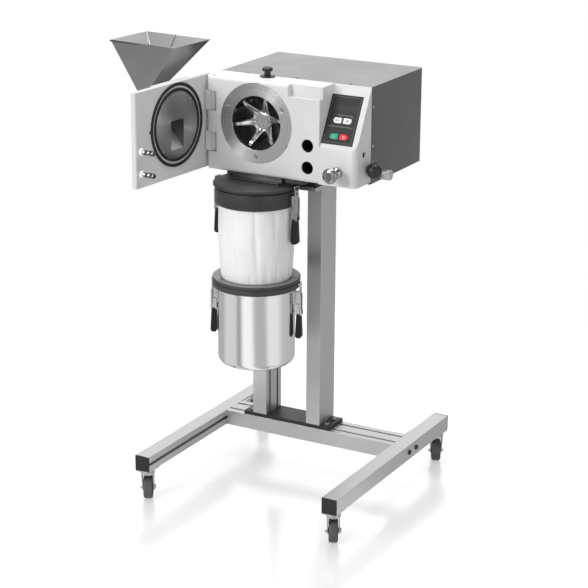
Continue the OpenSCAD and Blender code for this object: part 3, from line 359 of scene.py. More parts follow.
def addSkin(bm, rings, closed=False):  # capped at both ends, or closed on itself
    for low, high in zip(rings, rings[1:] + (rings[:1] if closed else [])):
        bridge(bm, low, high)
    if not closed:
        bm.faces.new(rings[0][::-1])
        bm.faces.new(rings[-1])
    return bm


def addLathe(bm, outline, at=Matrix(), sides=96, steps=4):  # corners in (radius, height, fillet) round the section
    rings = [ringOf(bm, [(x, y, height) for x, y in circle(sides, radius)] if radius > 1e-4 else [(0, 0, height)], at)
             for radius, height in filleted(outline, steps)]
    return addSkin(bm, rings, True)


def addSlab(bm, outline, low, high, at=Matrix(), steps=4):  # a flat outline between two heights
    outline = filleted(outline, steps)
    return addSkin(bm, [ringOf(bm, [(x, y, h) for x, y in outline], at) for h in (low, high)])


def addCrowned(bm, outline, low, high, edge, at=Matrix(), steps=3):  # a slab whose top edge is rounded
    outline = filleted(outline, steps)
    turns = [math.pi * k / 6 for k in range(4)]
    rings = []
    for inset, height in [(0.0, low)] + [(edge - edge * math.cos(a), high - edge + edge * math.sin(a)) for a in turns]:
        ring = []
        for before, p, after in zip(outline[-1:] + outline, outline, outline[1:] + outline[:1]):
            side = ((p - before).normalized() + (after - p).normalized()).normalized()
            ring.append((p.x - side.y * inset, p.y + side.x * inset, height))
        rings.append(ringOf(bm, ring, at))
    return addSkin(bm, rings)


def addTube(bm, points, radius, sides=12, at=Matrix()):  # a round bar along points, its radius one number or a list
    places = [Vector(p) for p in points]
    side = (places[1] - places[0]).orthogonal()
    rings = []
    for i, p in enumerate(places):
        way = (places[min(i + 1, len(places) - 1)] - places[max(i - 1, 0)]).normalized()
        side = (side - way * side.dot(way)).normalized()
        other = way.cross(side)
        r = radius[i] if isinstance(radius, list) else radius
        rings.append(ringOf(bm, [p + side * x + other * y for x, y in circle(sides, r)], at))
    return addSkin(bm, rings)


def spot(origin, up, side):  # a place whose z runs along up and x along side
    z = Vector(up).normalized()
    x = (Vector(side) - z * Vector(side).dot(z)).normalized()
    turn = Matrix((x, z.cross(x), z)).transposed().to_4x4()
    return Matrix.Translation(Vector(origin) * mm) @ turn


def turnedZ(angle, origin=(0, 0, 0), axis="Z"):
    return Matrix.Translation(Vector(origin) * mm) @ Matrix.Rotation(math.radians(angle), 4, axis)


def evaluated(thing):
    bpy.context.view_layer.update()
    return bpy.data.meshes.new_from_object(thing.evaluated_get(bpy.context.evaluated_depsgraph_get()))


def carved(bm, cutter):  # bm less cutter, both closed
    made = []
    for source in (bm, cutter):
        data = bpy.data.meshes.new("carve")
        bmesh.ops.recalc_face_normals(source, faces=source.faces)
        source.to_mesh(data)
        source.free()
        made.append(newObject("carve", data))
    cut = made[0].modifiers.new("cut", "BOOLEAN")
    cut.operation = "DIFFERENCE"
    cut.solver = "EXACT"
    cut.object = made[1]
    result = evaluated(made[0])
    out = bmesh.new()
    out.from_mesh(result)
    for data in [o.data for o in made] + [result]:
        bpy.data.meshes.remove(data)
    bmesh.ops.remove_doubles(out, verts=out.verts, dist=1e-6)
    return out


print("stage: helpers ready")

# Stand, housing and plain nodes: finish and edge of a dressed form, or finish of a node that stays

eased = {
    "left_leg": ("aluY", 0.5), "right_leg": ("aluY", 0.5), "crossbeam": ("aluX", 0.5),
    "left_column": ("aluZ", 0.5), "right_column": ("aluZ", 0.5), "end_caps": ("blackSatin", 0.8),
    "foot_plate": ("blackSatin", 1.0), "support_plate": ("aluX", 0.6), "chassis": ("blackMatt", 0.6),
    "casing": ("casingGrey", 0.8), "front_shell": ("shellWhite", 0.8), "door": ("shellWhite", 0.8),
    "stand_brackets": ("zinc", 0.4), "power_inlet": ("blackSatin", 0.4),
    "chamber_ring": ("ringSteel", 0.4), "control_panel": ("panelFilm", 0.3), "clamp_bases": ("clampSteel", 0.4),
}
kept = {"chamber": "darkSteel", "sieve": "darkSteel", "stator_bars": "bladeSteel", "rotor_shaft": "bladeSteel",
        "shaft_bearings": "zinc", "motor": "motorPaint", "latch_sockets": "blackMatt", "hinge_pin": "zinc"}
for nodeName, (finish, width) in eased.items():
    dressed(nodeName, finish, width)
for nodeName, finish in kept.items():
    data = nodes[nodeName].data
    data.materials.clear()
    data.materials.append(finishes[finish])
    for face in data.polygons:
        face.material_index = 0
print("stage: CAD nodes finished")

# Collecting set: lid, cloth sleeve, lower ring and vessel

setMid = (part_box("vessel")[0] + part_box("vessel")[1]) / 2 / mm
setAt = turnedZ(0, (setMid.x, setMid.y, 0))
lidSet = {"section": [(88, 764.5, 0.6), (102.6, 764.5, 1.2), (102.6, 803.6, 1.2), (97.5, 803.6, 0.3),
                      (97.5, 808.2, 0.3), (107, 808.2, 0.8), (107, 815, 1.4), (0, 815), (0, 803), (88, 803, 2)],
          "mouth": (-40, -78, 80, 46), "tab": (12.5, 14), "tabsFrom": (-115.5, 103), "tabZ": (811, 813.4)}


def makeLid():
    s = lidSet
    bm = addLathe(bmesh.new(), s["section"], setAt, 144, 3)
    x, y, w, d = s["mouth"]
    cutter = addSlab(bmesh.new(), oblong(setMid.x + x, y, w, d), 795, 820)
    joined(carved(bm, cutter), "lidTurned", "lidBlack", "lid_black", replaced=("lid",))
    bm = bmesh.new()
    w, d = s["tab"]
    for x in s["tabsFrom"]:
        addSlab(bm, oblong(x, -d / 2, w, d), *s["tabZ"], setAt)
    joined(bm, "lidTabs", "lidBlack", "lid_black")


adapterSet = {"cuts": [((-400, -300, 800, 400), 780, 817.6), ((-400, -300, 264.7, 400), 780, 860)],
              "lip": (-131, -1.6, 133, 2.6), "lipZ": (817.6, 818.6)}


def makeAdapter():  # the plate between chassis and lid, cut back to what shows over the lid
    s = adapterSet
    form = nodeForm("outlet_adapter")
    for area, low, high in s["cuts"]:
        form = carved(form, addSlab(bmesh.new(), oblong(*area), low, high))
    slotName = slotOf["outlet_adapter"]
    joined(form, "adapterPlate", "blackSatin", slotName, replaced=("outlet_adapter",), edge=0.5)
    # painted highlight: a thin lighter grey strip at the foot of the plate's front, standing for an edge highlight
    x, y, w, d = s["lip"]
    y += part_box("outlet_adapter")[0].y / mm
    joined(addSlab(bmesh.new(), oblong(x, y, w, d), *s["lipZ"]), "adapterLip", "screwGrey", slotName)


# folds: how many, slant either way, width, depth, where they start and the share of the height that they reach
sleeveSet = {"topZ": 764.2, "footZ": 574.8, "topRadius": 93.8, "footRadius": 88.4, "most": 94.6,
             "belly": 1.6, "hem": 9, "sides": 480, "rows": 60, "thick": 0.7, "wave": 0.8, "seed": 11,
             "flat": (0.600, 0.190),
             "folds": [(40, 9, (1.8, 4.5), (-3.4, 0.6), "top", (0.2, 0.8)),
                       (44, 9, (1.6, 4), (-3.6, 0.6), "foot", (0.15, 0.6)),
                       (15, 14, (2.2, 5), (-3.2, 0.4), "both", None)]}


def makeSleeve():
    s = sleeveSet
    rng = random.Random(s["seed"])
    folds = [(rng.uniform(0, 360), rng.uniform(-slant, slant), rng.uniform(*wide), rng.uniform(*deep), where,
              rng.uniform(*reach) if reach else 1)
             for number, slant, wide, deep, where, reach in s["folds"] for k in range(number)]
    bm = bmesh.new()
    uv = bm.loops.layers.uv.new("cut")
    rows, sides = s["rows"], s["sides"]
    grid = []
    for j in range(rows + 1):
        share = j / rows
        hem = min(1, share * s["hem"], (1 - share) * s["hem"])
        ring = []
        for i in range(sides):
            turn = 360 * i / sides
            a = math.radians(turn)
            radius = s["footRadius"] + (s["topRadius"] - s["footRadius"]) * (1 - (1 - share) ** 2)
            radius += s["belly"] * math.sin(math.pi * share)
            for at, slant, wide, deep, where, reach in folds:
                off = (turn - at - slant * (share - 0.5) + 180) % 360 - 180
                if abs(off) > 3 * wide:
                    continue
                along = {"top": max(0, 1 - (1 - share) / reach), "foot": max(0, 1 - share / reach),
                         "both": math.sin(math.pi * share) * 0.8 + 0.2}[where]
                radius += deep * (0.35 + 0.65 * hem) * along ** 1.3 * math.exp(-(off / wide) ** 2)
            radius += s["wave"] * noise.noise(Vector((math.cos(a), math.sin(a), share)) * 3) * hem
            radius = min(radius, s["most"])
            ring.append((radius * math.cos(a), radius * math.sin(a), s["footZ"] + (s["topZ"] - s["footZ"]) * share))
        grid.append(ringOf(bm, ring, setAt))
    for j in range(rows):
        for i in range(sides):
            face = bm.faces.new((grid[j][i], grid[j][(i + 1) % sides], grid[j + 1][(i + 1) % sides], grid[j + 1][i]))
            for loop, (u, v) in zip(face.loops, ((i, j), (i + 1, j), (i + 1, j + 1), (i, j + 1))):
                loop[uv].uv = (u / sides * s["flat"][0], v / rows * s["flat"][1])
    sleeve = joined(bm, "filterCloth", "cloth", "cloth_white", replaced=("filter_sleeve",), sharp=60)
    wall = sleeve.modifiers.new("cloth", "SOLIDIFY")
    wall.thickness = s["thick"] * mm
    wall.offset = -1


ringSet = {"section": [(84, 551.5, 0.5), (109.2, 551.5, 0.8), (109.2, 565, 0.6), (107.6, 565, 0.3), (107.6, 567, 0.3),
                       (110, 567, 0.6), (110, 574.5, 1.2), (84, 574.5, 0.8)],
           "band": [(90, 574.3), (108.6, 574.3), (108.6, 575.1, 0.3), (90, 575.1, 0.3)],
           "catch": [(107, -7), (115.5, -7, 2), (115.5, 7, 2), (107, 7)], "catchTurns": (16, 196),
           "catchZ": (557.6, 560.0)}
vesselSet = {"section": [(0, 351), (96.5, 351, 16), (96.5, 530.5, 1), (96.65, 532.5, 1), (96.5, 534.5, 1),
                         (96.5, 546.5, 1.2), (104, 546.5, 1), (104, 551.5, 0.8), (95, 551.5, 0.8),
                         (95, 352.5, 14.5), (0, 352.5)]}


def makeLowerRing():
    s = ringSet
    joined(addLathe(bmesh.new(), s["section"], setAt, 144, 3), "lowerRingTurned", "ringGrey", "ring_grey",
           replaced=("lower_ring",))
    # a thin band over the ring's top under the band screws, partly painted light: its lighter grey stands for the lit
    # top face
    joined(addLathe(bmesh.new(), s["band"], setAt, 144, 2), "hemBand", "bandGrey", "ring_grey")
    bm = bmesh.new()
    for turn in s["catchTurns"]:
        addCrowned(bm, s["catch"], *s["catchZ"], 0.5, setAt @ turnedZ(turn))
    joined(bm, "lowerCatches", "chrome", "ring_grey")


makeLid()
makeAdapter()
makeSleeve()
makeLowerRing()
joined(addLathe(bmesh.new(), vesselSet["section"], setAt, 160, 6), "vesselDrawn", "vesselSteel", "vessel_steel",
       replaced=("vessel",), sharp=40)
print("stage: collecting set made")

# Toggle clamps: a steel claw with its spring, cheeks and a black grip. x is outward from the set's axis, z is up

clampSet = {"turns": {"upper_left": 180, "upper_right": 0, "lower_left": 196, "lower_right": 16},
            "pivots": {"upper": 752, "lower": 500}, "plate": 1.8, "face": 111.6, "head": 11, "overWire": -0.3,
            "claw": [(10.6, -16, 6), (9.2, -6, 4), (10.6, 3, 4), (10.6, 11, 0.6), (7.6, 11, 0.3), (7.6, 1, 2.5)],
            "clawFoot": [(-10.6, -14, 3.5), (10.6, -14, 3.5)], "hole": (4.2, -7),
            "window": [(-5.2, 0, 2), (5.2, 0, 2), (5.2, 22, 4.5), (-5.2, 22, 4.5)],
            "wall": [(113.42, -8, 1), (115.8, -4, 3)], "wallTop": [(115.8, -22, 4), (113.42, -15, 1)],
            "walls": (-8.8, 10.6), "hook": [(-10.6, -113.5, 0.8), (10.6, -113.5, 0.8)], "hookHalf": 9.6,
            "hookTo": {"upper": -106.9, "lower": -101.5}, "spring": (111.5, 2.3, 9, 14, 1, 19, 0.5),
            "cheek": [(101.5, 8, 3), (110.5, 8.5, 3), (117, -8, 4), (117.7, -21, 1), (101.1, -21, 1)],
            "cheeksAt": (-7, 7), "cheekHalf": 1, "pins": [(109.5, 0, 9.4), (112.5, -10, 9.2)], "pinRound": 0.6,
            "pinRadii": (1.6, 2.2), "gripAt": 109.5, "gripZ": (-17, -80.6), "gripRows": 14, "gripTaper": (0.86, 0.66),
            "gripEnds": ((9, 0.62), (14, 0.7)), "gripDraw": 0.2,
            "gripHalf": 10.6, "gripIn": -8.8, "gripOut": 8.4}


def makeClaw(name, level, at):
    s = clampSet
    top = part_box(name + "_loop")[1].z / mm - s["pivots"][level] + s["overWire"]
    shoulder = top - s["head"]
    plate = s["plate"]
    right = [(x, shoulder + y, r) for x, y, r in s["claw"]]
    outline = s["clawFoot"] + right + [(-x, y, r) for x, y, r in reversed(right)]
    upright = at @ spot((s["face"], 0, 0), (1, 0, 0), (0, 1, 0))
    bm = addSlab(bmesh.new(), outline, 0, plate, upright)
    radius, below = s["hole"]
    cutter = addSlab(bmesh.new(), circle(24, radius, 0, shoulder + below), -2, plate + 2, upright)
    addSlab(cutter, s["window"], -2, plate + 2, upright, 5)
    claw = carved(bm, cutter)
    for y in s["walls"]:
        addSlab(claw, s["wall"] + [(x, shoulder + z, r) for x, z, r in s["wallTop"]], 0, plate,
                at @ spot((0, y, 0), (0, -1, 0), (1, 0, 0)), 3)
    hook = s["hook"] + [(x, s["hookTo"][level], 2) for x in (s["hookHalf"], -s["hookHalf"])]
    addCrowned(claw, hook, 0, plate, 0.5, at @ spot((0, 0, top - plate), (0, 0, 1), (0, 1, 0)))
    joined(claw, name + "Claw", "clampSteel", "chrome", name + "_loop", (name + "_loop",), 40, 0.3)
    middle, radius, turns, sides, foot, high, wire = s["spring"]
    count = turns * sides
    loop = circle(sides, radius, middle)
    coil = [(*loop[k % sides], foot + high * k / count) for k in range(count + 1)]
    joined(addTube(bmesh.new(), coil, wire, 6, at), name + "Spring", "bladeSteel", "chrome", name + "_loop", (), 60)


def makeToggle(name, at):
    s = clampSet
    bm = bmesh.new()
    half = s["cheekHalf"]
    for y in s["cheeksAt"]:
        addSlab(bm, s["cheek"], y - half, y + half, at @ spot((0, 0, 0), (0, -1, 0), (1, 0, 0)), 5)
    for x, z, reach in s["pins"]:
        (end, side), flat = s["pinRadii"], reach - s["pinRound"]
        pin = [(0, -reach), (end, -reach), (side, -flat), (side, flat), (end, reach), (0, reach)]
        addLathe(bm, pin, at @ spot((x, 0, z), (0, 1, 0), (1, 0, 0)), 20)
    joined(bm, name + "Cheeks", "clampSteel", "chrome", name + "_lever", edge=0.25)
    bm = bmesh.new()
    rings = []
    start, end = s["gripZ"]
    (footRate, foot), (topRate, top) = s["gripEnds"]
    wide, deep = s["gripTaper"]
    for k in range(s["gripRows"] + 1):  # widens towards its foot, with both ends drawn in
        share = k / s["gripRows"]
        close = min(1, (1 - share) * footRate + foot, share * topRate + top)
        half = s["gripHalf"] * (wide + (1 - wide) * share) * (1 - s["gripDraw"] * (1 - close))
        inner, outer = (s[side] * (deep + (1 - deep) * share) for side in ("gripIn", "gripOut"))
        middle, thick = (inner + outer) / 2, (outer - inner) / 2 * close
        shape = filleted([(-half, middle - thick, 1.5), (half, middle - thick, 1.5), (half, middle + thick, 2.8),
                          (-half, middle + thick, 2.8)])
        rings.append(ringOf(bm, [(s["gripAt"] + q.y, q.x, start + (end - start) * share) for q in shape], at))
    joined(addSkin(bm, rings), name + "Grip", "gripBlack", "lever_grip", name + "_lever", (name + "_lever",), 50)


for name, turn in clampSet["turns"].items():
    level = name.split("_")[0]
    at = turnedZ(turn, (setMid.x, setMid.y, clampSet["pivots"][level]))
    makeClaw(name, level, at)
    makeToggle(name, at)
print("stage: clamps made")

# Mill: rotor star, disc and ribs of the sieve

millMid = Vector((-64.5, 0, 960))
millAt = turnedZ(90, millMid, "X")  # local z points to -Y
rotorSet = {"arms": 6, "turn": 13.5, "tips": [(64.6, -8.6, 1.6), (64.6, -1.0, 2.2)], "valley": (22, 31, 8),
            "front": 86, "back": 32, "edge": 1.2, "dish": (60, 20, 58), "rings": 16,
            "ringFrom": 0.98, "ringStep": 0.045,
            "disc": [(0, 54), (20.5, 54), (20.5, 62.6, 1.2), (0, 62.6)],
            "slots": [(-15.6, -3.6, 5.2, 7.2, 2), (10.4, -3.6, 5.2, 7.2, 2)], "slotTurn": 58, "slotZ": (59.5, 67)}


def makeRotor():
    s = rotorSet
    corners = []
    for i in range(s["arms"]):
        a = s["turn"] + i * 360 / s["arms"]
        for x, y, r in s["tips"]:
            corners.append((*(Matrix.Rotation(math.radians(a), 2) @ Vector((x, y))), r))
        far, aside, fillet = s["valley"]
        b = math.radians(a + aside)
        corners.append((far * math.cos(b), far * math.sin(b), fillet))
    outline = filleted(corners, 6)
    low, start, end = s["dish"]

    def height(p):  # the star's front is dished round the hub
        share = min(1, max(0, (p.length - start) / (end - start)))
        return low + (s["front"] - low) * share * share * (3 - 2 * share)

    bm = bmesh.new()
    levels = [[(p, s["back"]) for p in outline], [(p, height(p) - s["edge"]) for p in outline]]
    for k in range(s["rings"]):
        scale = s["ringFrom"] - s["ringStep"] * k
        levels.append([(p * scale, height(p * scale)) for p in outline])
    addSkin(bm, [ringOf(bm, [(p.x, p.y, h) for p, h in level], millAt) for level in levels])
    joined(bm, "rotorStar", "bladeSteel", "cast_steel", "rotor", ("rotor",), 32)
    bm = addLathe(bmesh.new(), s["disc"], millAt, 64, 3)
    cutter = bmesh.new()
    for slot in s["slots"]:
        turn = Matrix.Rotation(math.radians(s["slotTurn"]), 2)
        addSlab(cutter, [turn @ p for p in filleted(oblong(*slot), 3)], *s["slotZ"], millAt)
    joined(carved(bm, cutter), "rotorDisc", "discSteel", "steel", "rotor", (), 32)


sieveSet = {"radius": 68.4, "arc": 210, "count": 66, "bar": 1.5, "front": -84.5, "back": -25.5}


def newTree(name, given):  # an empty node group with its inputs, and a way to end it
    tree = bpy.data.node_groups.new(name, "GeometryNodeTree")
    sockets = {label: tree.interface.new_socket(label, in_out="INPUT", socket_type="NodeSocket" + kind).identifier
               for label, kind in given.items()}
    tree.interface.new_socket("Geometry", in_out="OUTPUT", socket_type="NodeSocketGeometry")
    value = {o.name: Wire(tree, o) for o in tree.nodes.new("NodeGroupInput").outputs if o.name}

    def finish(copies):
        solid = copies.node("GeometryNodeRealizeInstances", None, {"Geometry": copies})
        done = solid.node("GeometryNodeSetMaterial", None, {"Geometry": solid, "Material": value["Finish"]})
        tree.links.new(done.socket, tree.nodes.new("NodeGroupOutput").inputs[0])
        return tree, sockets
    return value, finish


def ribTree():  # bars on an arc, from named sizes
    value, finish = newTree("sieveRibs", {"Radius": "Float", "Count": "Int", "Arc": "Float", "Bar": "Float",
                                          "Length": "Float", "Finish": "Material"})
    count, radius, bar = value["Count"], value["Radius"], value["Bar"]
    line = count.node("GeometryNodeMeshLine", {"mode": "OFFSET"}, {"Count": count})
    turn = (line.node("GeometryNodeInputIndex") / (count - 1) - 0.5) * value["Arc"]
    sine, cosine = turn.calc("SINE", turn), turn.calc("COSINE", turn)
    place = sine.node("ShaderNodeCombineXYZ", None, {0: sine * radius, 2: 0.0 - cosine * radius})
    points = line.node("GeometryNodeSetPosition", None, {"Geometry": line, "Position": place})
    size = bar.node("ShaderNodeCombineXYZ", None, {0: bar, 1: value["Length"], 2: bar * 1.3})
    block = size.node("GeometryNodeMeshCube", None, {"Size": size})
    spin = turn.node("ShaderNodeCombineXYZ", None, {1: 0.785 - turn})
    return finish(points.node("GeometryNodeInstanceOnPoints", None,
                              {"Points": points, "Instance": block, "Rotation": spin}))


def grown(name, tree, sockets, inputs, slotName, replaced=(), points=None):
    host = newObject(name + "Host", points or bpy.data.meshes.new(name + "Host"))
    maker = host.modifiers.new("nodes", "NODES")
    maker.node_group = tree
    for label, value in inputs.items():
        maker[sockets[label]] = value
    data = evaluated(host)
    bpy.data.objects.remove(host)
    data.name = name
    return placed(name, data, "stand", replaced)


def makeSieve():
    s = sieveSet
    piece = grown("sieveRibs", *ribTree(), {
        "Radius": s["radius"] * mm, "Count": s["count"], "Arc": math.radians(s["arc"]), "Bar": s["bar"] * mm,
        "Length": (s["back"] - s["front"]) * mm, "Finish": finishes["sieveSteel"]}, "dark_steel")
    piece.data.transform(Matrix.Translation(Vector((millMid.x, (s["front"] + s["back"]) / 2, millMid.z)) * mm))


makeRotor()
makeSieve()
print("stage: mill made")

# Screws, grown at points, each set facing one way

ringSpots = {r: [(x, -94.2, z) for x, z in circle(12, r, millMid.x, millMid.z)] for r in (83, 96)}
seamZ = [824.8 + share * 238.9 for share in (0.796, 0.394, 0.231)]
bandTurns = [math.radians(72 * i - 126.8) for i in range(5)]
# name: radius, height, finish, the way they face and where they stand
screwSet = {
    "footScrews": (7.0, 4.0, "screwGrey", (0, 0, 1), [(x, y, 137) for x in (-176, 47) for y in (83, 123)]),
    # painted shade: thin black discs set in the chamber ring's notches, where the notches are in shade
    "ringNotches": (2.4, 0.25, "blackMatt", (0, -1, 0), ringSpots[96][3::4]),
    "ringScrews": (4.4, 0.7, "screwGrey", (0, -1, 0), ringSpots[83][1::4]),
    "bandScrews": (4.5, 2.5, "screwGrey", (0, 0, 1),
                   [(setMid.x + 97 * math.cos(a), setMid.y + 97 * math.sin(a), 574.5) for a in bandTurns]),
    "sideBoltsRight": (6.5, 3.5, "screwBlack", (1, 0, 0), [(285.5, y, 107) for y in (83, 123)]),
    "sideBoltsLeft": (6.5, 3.5, "screwBlack", (-1, 0, 0), [(-285.5, y, 107) for y in (83, 123)]),
    "seamScrewsTop": (3.0, 0.8, "screwBlack", (0, 0, 1),
                      [(1.5 + share * 416.4, -8, 1063.7) for share in (-0.333, 0, 0.35)]),
    "seamScrewsRight": (3.0, 0.8, "zinc", (1, 0, 0), [(209.7, -8, z) for z in seamZ]),
    "seamScrewsLeft": (3.0, 0.8, "zinc", (-1, 0, 0), [(-206.7, -8, z) for z in seamZ]),
}
headSet = {"sides": 24, "section": [(1.0, 0.0), (1.0, 0.78), (0.96, 0.92), (0.86, 1.0), (0.62, 1.0)],
           "socket": 0.54, "socketZ": (1.0, 0.45)}


def screwHead():  # a unit socket head: radius 1, height 1, foot at z 0
    s = headSet
    bm = bmesh.new()
    rings = [[bm.verts.new((x, y, h)) for x, y in circle(s["sides"], r)] for r, h in s["section"]]
    bm.faces.new(rings[0][::-1])
    for low, high in zip(rings, rings[1:]):
        bridge(bm, low, high)
    rims = [[bm.verts.new((x, y, h)) for x, y in circle(6, s["socket"])] for h in s["socketZ"]]
    bridge(bm, *rims)
    bm.faces.new(rims[1])
    step = s["sides"] // 6
    for i in range(6):
        arc = [rings[-1][(i * step + k) % s["sides"]] for k in range(step + 1)]
        bm.faces.new(arc + [rims[0][(i + 1) % 6], rims[0][i]])
    bmesh.ops.recalc_face_normals(bm, faces=bm.faces)
    data = bpy.data.meshes.new("screwHead")
    bm.to_mesh(data)
    bm.free()
    return data


def screwTree():
    value, finish = newTree("screws", {"Spots": "Geometry", "Head": "Object", "Radius": "Float", "Height": "Float",
                                       "Aim": "Vector", "Finish": "Material"})
    head, radius = value["Head"], value["Radius"]
    head = head.node("GeometryNodeObjectInfo", None, {"Object": head}, "Geometry")
    aim = radius.node("FunctionNodeAlignEulerToVector", {"axis": "Z"}, {"Vector": value["Aim"]})
    size = radius.node("ShaderNodeCombineXYZ", None, {0: radius, 1: radius, 2: value["Height"]})
    return finish(head.node("GeometryNodeInstanceOnPoints", None,
                            {"Points": value["Spots"], "Instance": head, "Rotation": aim, "Scale": size}))


def makeScrews():
    tree, sockets = screwTree()
    head = newObject("screwHead", screwHead())
    for name, (radius, high, finish, aim, spots) in screwSet.items():
        points = bpy.data.meshes.new(name + "Spots")
        points.from_pydata([tuple(v * mm for v in p) for p in spots], [], [])
        inputs = {"Head": head, "Radius": radius * mm, "Height": high * mm, "Aim": aim, "Finish": finishes[finish]}
        grown(name, tree, sockets, inputs, "dark_screws", ("fasteners",) if name == "footScrews" else (), points)
    bpy.data.objects.remove(head)


makeScrews()
print("stage: screws made")

# Door: plate, seals, bolts and hopper. On its outer side a place is (along the door, off its face, height)

doorSet = {"pin": (-192, -78, 0), "open": 94.7, "depth": 20.5, "axis": 127.5, "axisZ": 960}
doorAt = turnedZ(-doorSet["open"], doorSet["pin"])
doorFace = doorAt @ spot((doorSet["axis"], -doorSet["depth"], doorSet["axisZ"]), (0, 1, 0), (1, 0, 0))
doorOff = doorAt @ Matrix.Translation((0, -doorSet["depth"] * mm, 0)) @ Matrix.Diagonal((1, -1, 1, 1))


def shell(rings, walls):  # a sheet tube through outer rings and back through inner ones
    bm = bmesh.new()
    return addSkin(bm, [ringOf(bm, ring, doorOff) for ring in rings + walls[::-1]], True)


sealSet = {"rings": [(95, 103), (82.5, 90)], "sunk": -1.9, "proud": 3,
           "tab": [(100, -4, 1), (108, -3, 2), (108, 3, 2), (100, 4, 1)]}
plateSet = {"section": [(0, -1.9), (81.8, -1.9), (81.8, 2, 1.2), (0, 2)], "feed": (-26, -13, 52, 74),
            "liner": (101.5, 153.5, 899, 973), "linerOff": (-2.05, 23.9), "linerIn": (0.05, 1.0),
            "slope": [(-1.65, 900.1), (23.9, 900.1), (50, 932), (50, 961)], "slopeX": (102.6, 152.4),
            "screwsAt": (-56, -56, 112, 112), "cutZ": (-9, 9),
            "screw": [(0, 1.5), (2.6, 1.5), (2.6, 2.1), (1.9, 2.6), (0, 2.75)]}
boltSet = {"along": 269.7, "zs": (920.8, 866.6), "collar": [(4, -1), (9.4, -1), (9.4, 3, 1), (7.4, 9, 1.2), (4, 9)],
           "bolt": [(0, 0), (5.8, 0), (5.8, 14, 0.4), (4.9, 14.6, 0.3), (4.9, 16, 0.3), (6.6, 16.6, 0.4),
                    (6.6, 27, 0.4), (5, 27.6, 0.3), (5, 29.4, 0.3), (7, 30, 0.5), (7, 38.6, 0.8), (5.6, 40, 0.6),
                    (0, 40)]}


def makeSeals():
    s = sealSet
    bm = bmesh.new()
    for inner, outer in s["rings"]:
        addLathe(bm, [(inner, s["sunk"]), (outer, s["sunk"]), (outer, s["proud"], 1.8), (inner, s["proud"], 1.8)],
                 doorFace, 160, 5)
    joined(bm, "doorSealRings", "seal", "seal_black", "door", ("door_seals",))
    joined(addCrowned(bmesh.new(), s["tab"], 0.0, 2.6, 0.8, doorFace), "sealTab", "seal", "seal_black", "door")


def makeDoorPlate():
    s = plateSet
    bm = addLathe(bmesh.new(), s["section"], doorFace, 144)
    cutter = addSlab(bmesh.new(), oblong(*s["feed"]), *s["cutZ"], doorFace)
    joined(carved(bm, cutter), "doorPlateTurned", "plateSteel", "dark_steel", "door", ("door_plate",))
    x0, x1, z0, z1 = s["liner"]
    outer, inner = ([[(x, off, z) for x, z in ((x0 + i, z0 + i), (x1 - i, z0 + i), (x1 - i, z1 - i), (x0 + i, z1 - i))]
                     for off in s["linerOff"]] for i in s["linerIn"])
    joined(shell(outer, inner), "feedLiner", "feedSteel", "dark_steel", "door", (), 20)
    bm = bmesh.new()
    addSkin(bm, [ringOf(bm, [(x, off, z) for off, z in s["slope"]], doorOff) for x in s["slopeX"]])
    joined(bm, "feedSlope", "slopeSteel", "dark_steel", "door", (), 20)
    bm = bmesh.new()
    for x, y, r in oblong(*s["screwsAt"]):
        addLathe(bm, s["screw"], doorFace @ turnedZ(0, (x, y, 0)), 20)
    joined(bm, "doorPlateScrews", "bladeSteel", "steel", "door")


def makeBolts():
    s = boltSet
    metal, collar = bmesh.new(), bmesh.new()
    for z in s["zs"]:
        at = doorAt @ spot((s["along"], -doorSet["depth"], z), (0, 1, 0), (1, 0, 0))
        addLathe(collar, s["collar"], at, 40)
        addLathe(metal, s["bolt"], at, 8, 2)
    joined(metal, "latchBoltsTurned", "boltSteel", "chrome", "door", ("latch_bolts",), 28)
    joined(collar, "latchCollars", "collarWhite", "shell_white", "door")


# rims: x0, off0, x1, off1, height, then where the far side is stepped and how low
hopperSet = {"outer": [(98.5, 66, 156.5, 95, 1035, 80.5, 0), (-53, 28.5, 93, 227.5, 1138.5, 133.97, -0.6)],
             "inner": [(100, 67.5, 155, 93.5, 1035, 80.5, 0), (-51.5, 30, 91.5, 226, 1138.5, 133.88, -0.6)],
             "hem": [(93.4, y, 1136.1) for y in (-248.5, -246, -160.45, -158.45)], "hemR": [1.44, 2.4, 2.4, 1.92],
             "seam": [(-51.1, -246.1, 1137.9), (24.65, -167.8, 1087.45), (100.4, -89.5, 1037)],
             "lap": [(-51.5, 224.8, 1138.7), (-51.5, 133.97, 1138.7), (100, 90, 1036), (100, 92.3, 1036)],
             "lapX": (1, -0.4), "lapEdge": [(-50.5, -154.47, 1138.1), (25.25, -132.485, 1087.55), (101, -110.5, 1037)],
             "chute": [(24.2, 24.2, 899, 973), (95, 66, 983, 1031), (95, 66, 1035.5, 1035.5)],
             "chuteIn": [(0, 0, 1, -1), (-1, 1, 1, 0), (-1, 1, 0, 0)], "chuteX": (98.5, 156.5), "sheet": 1.5}


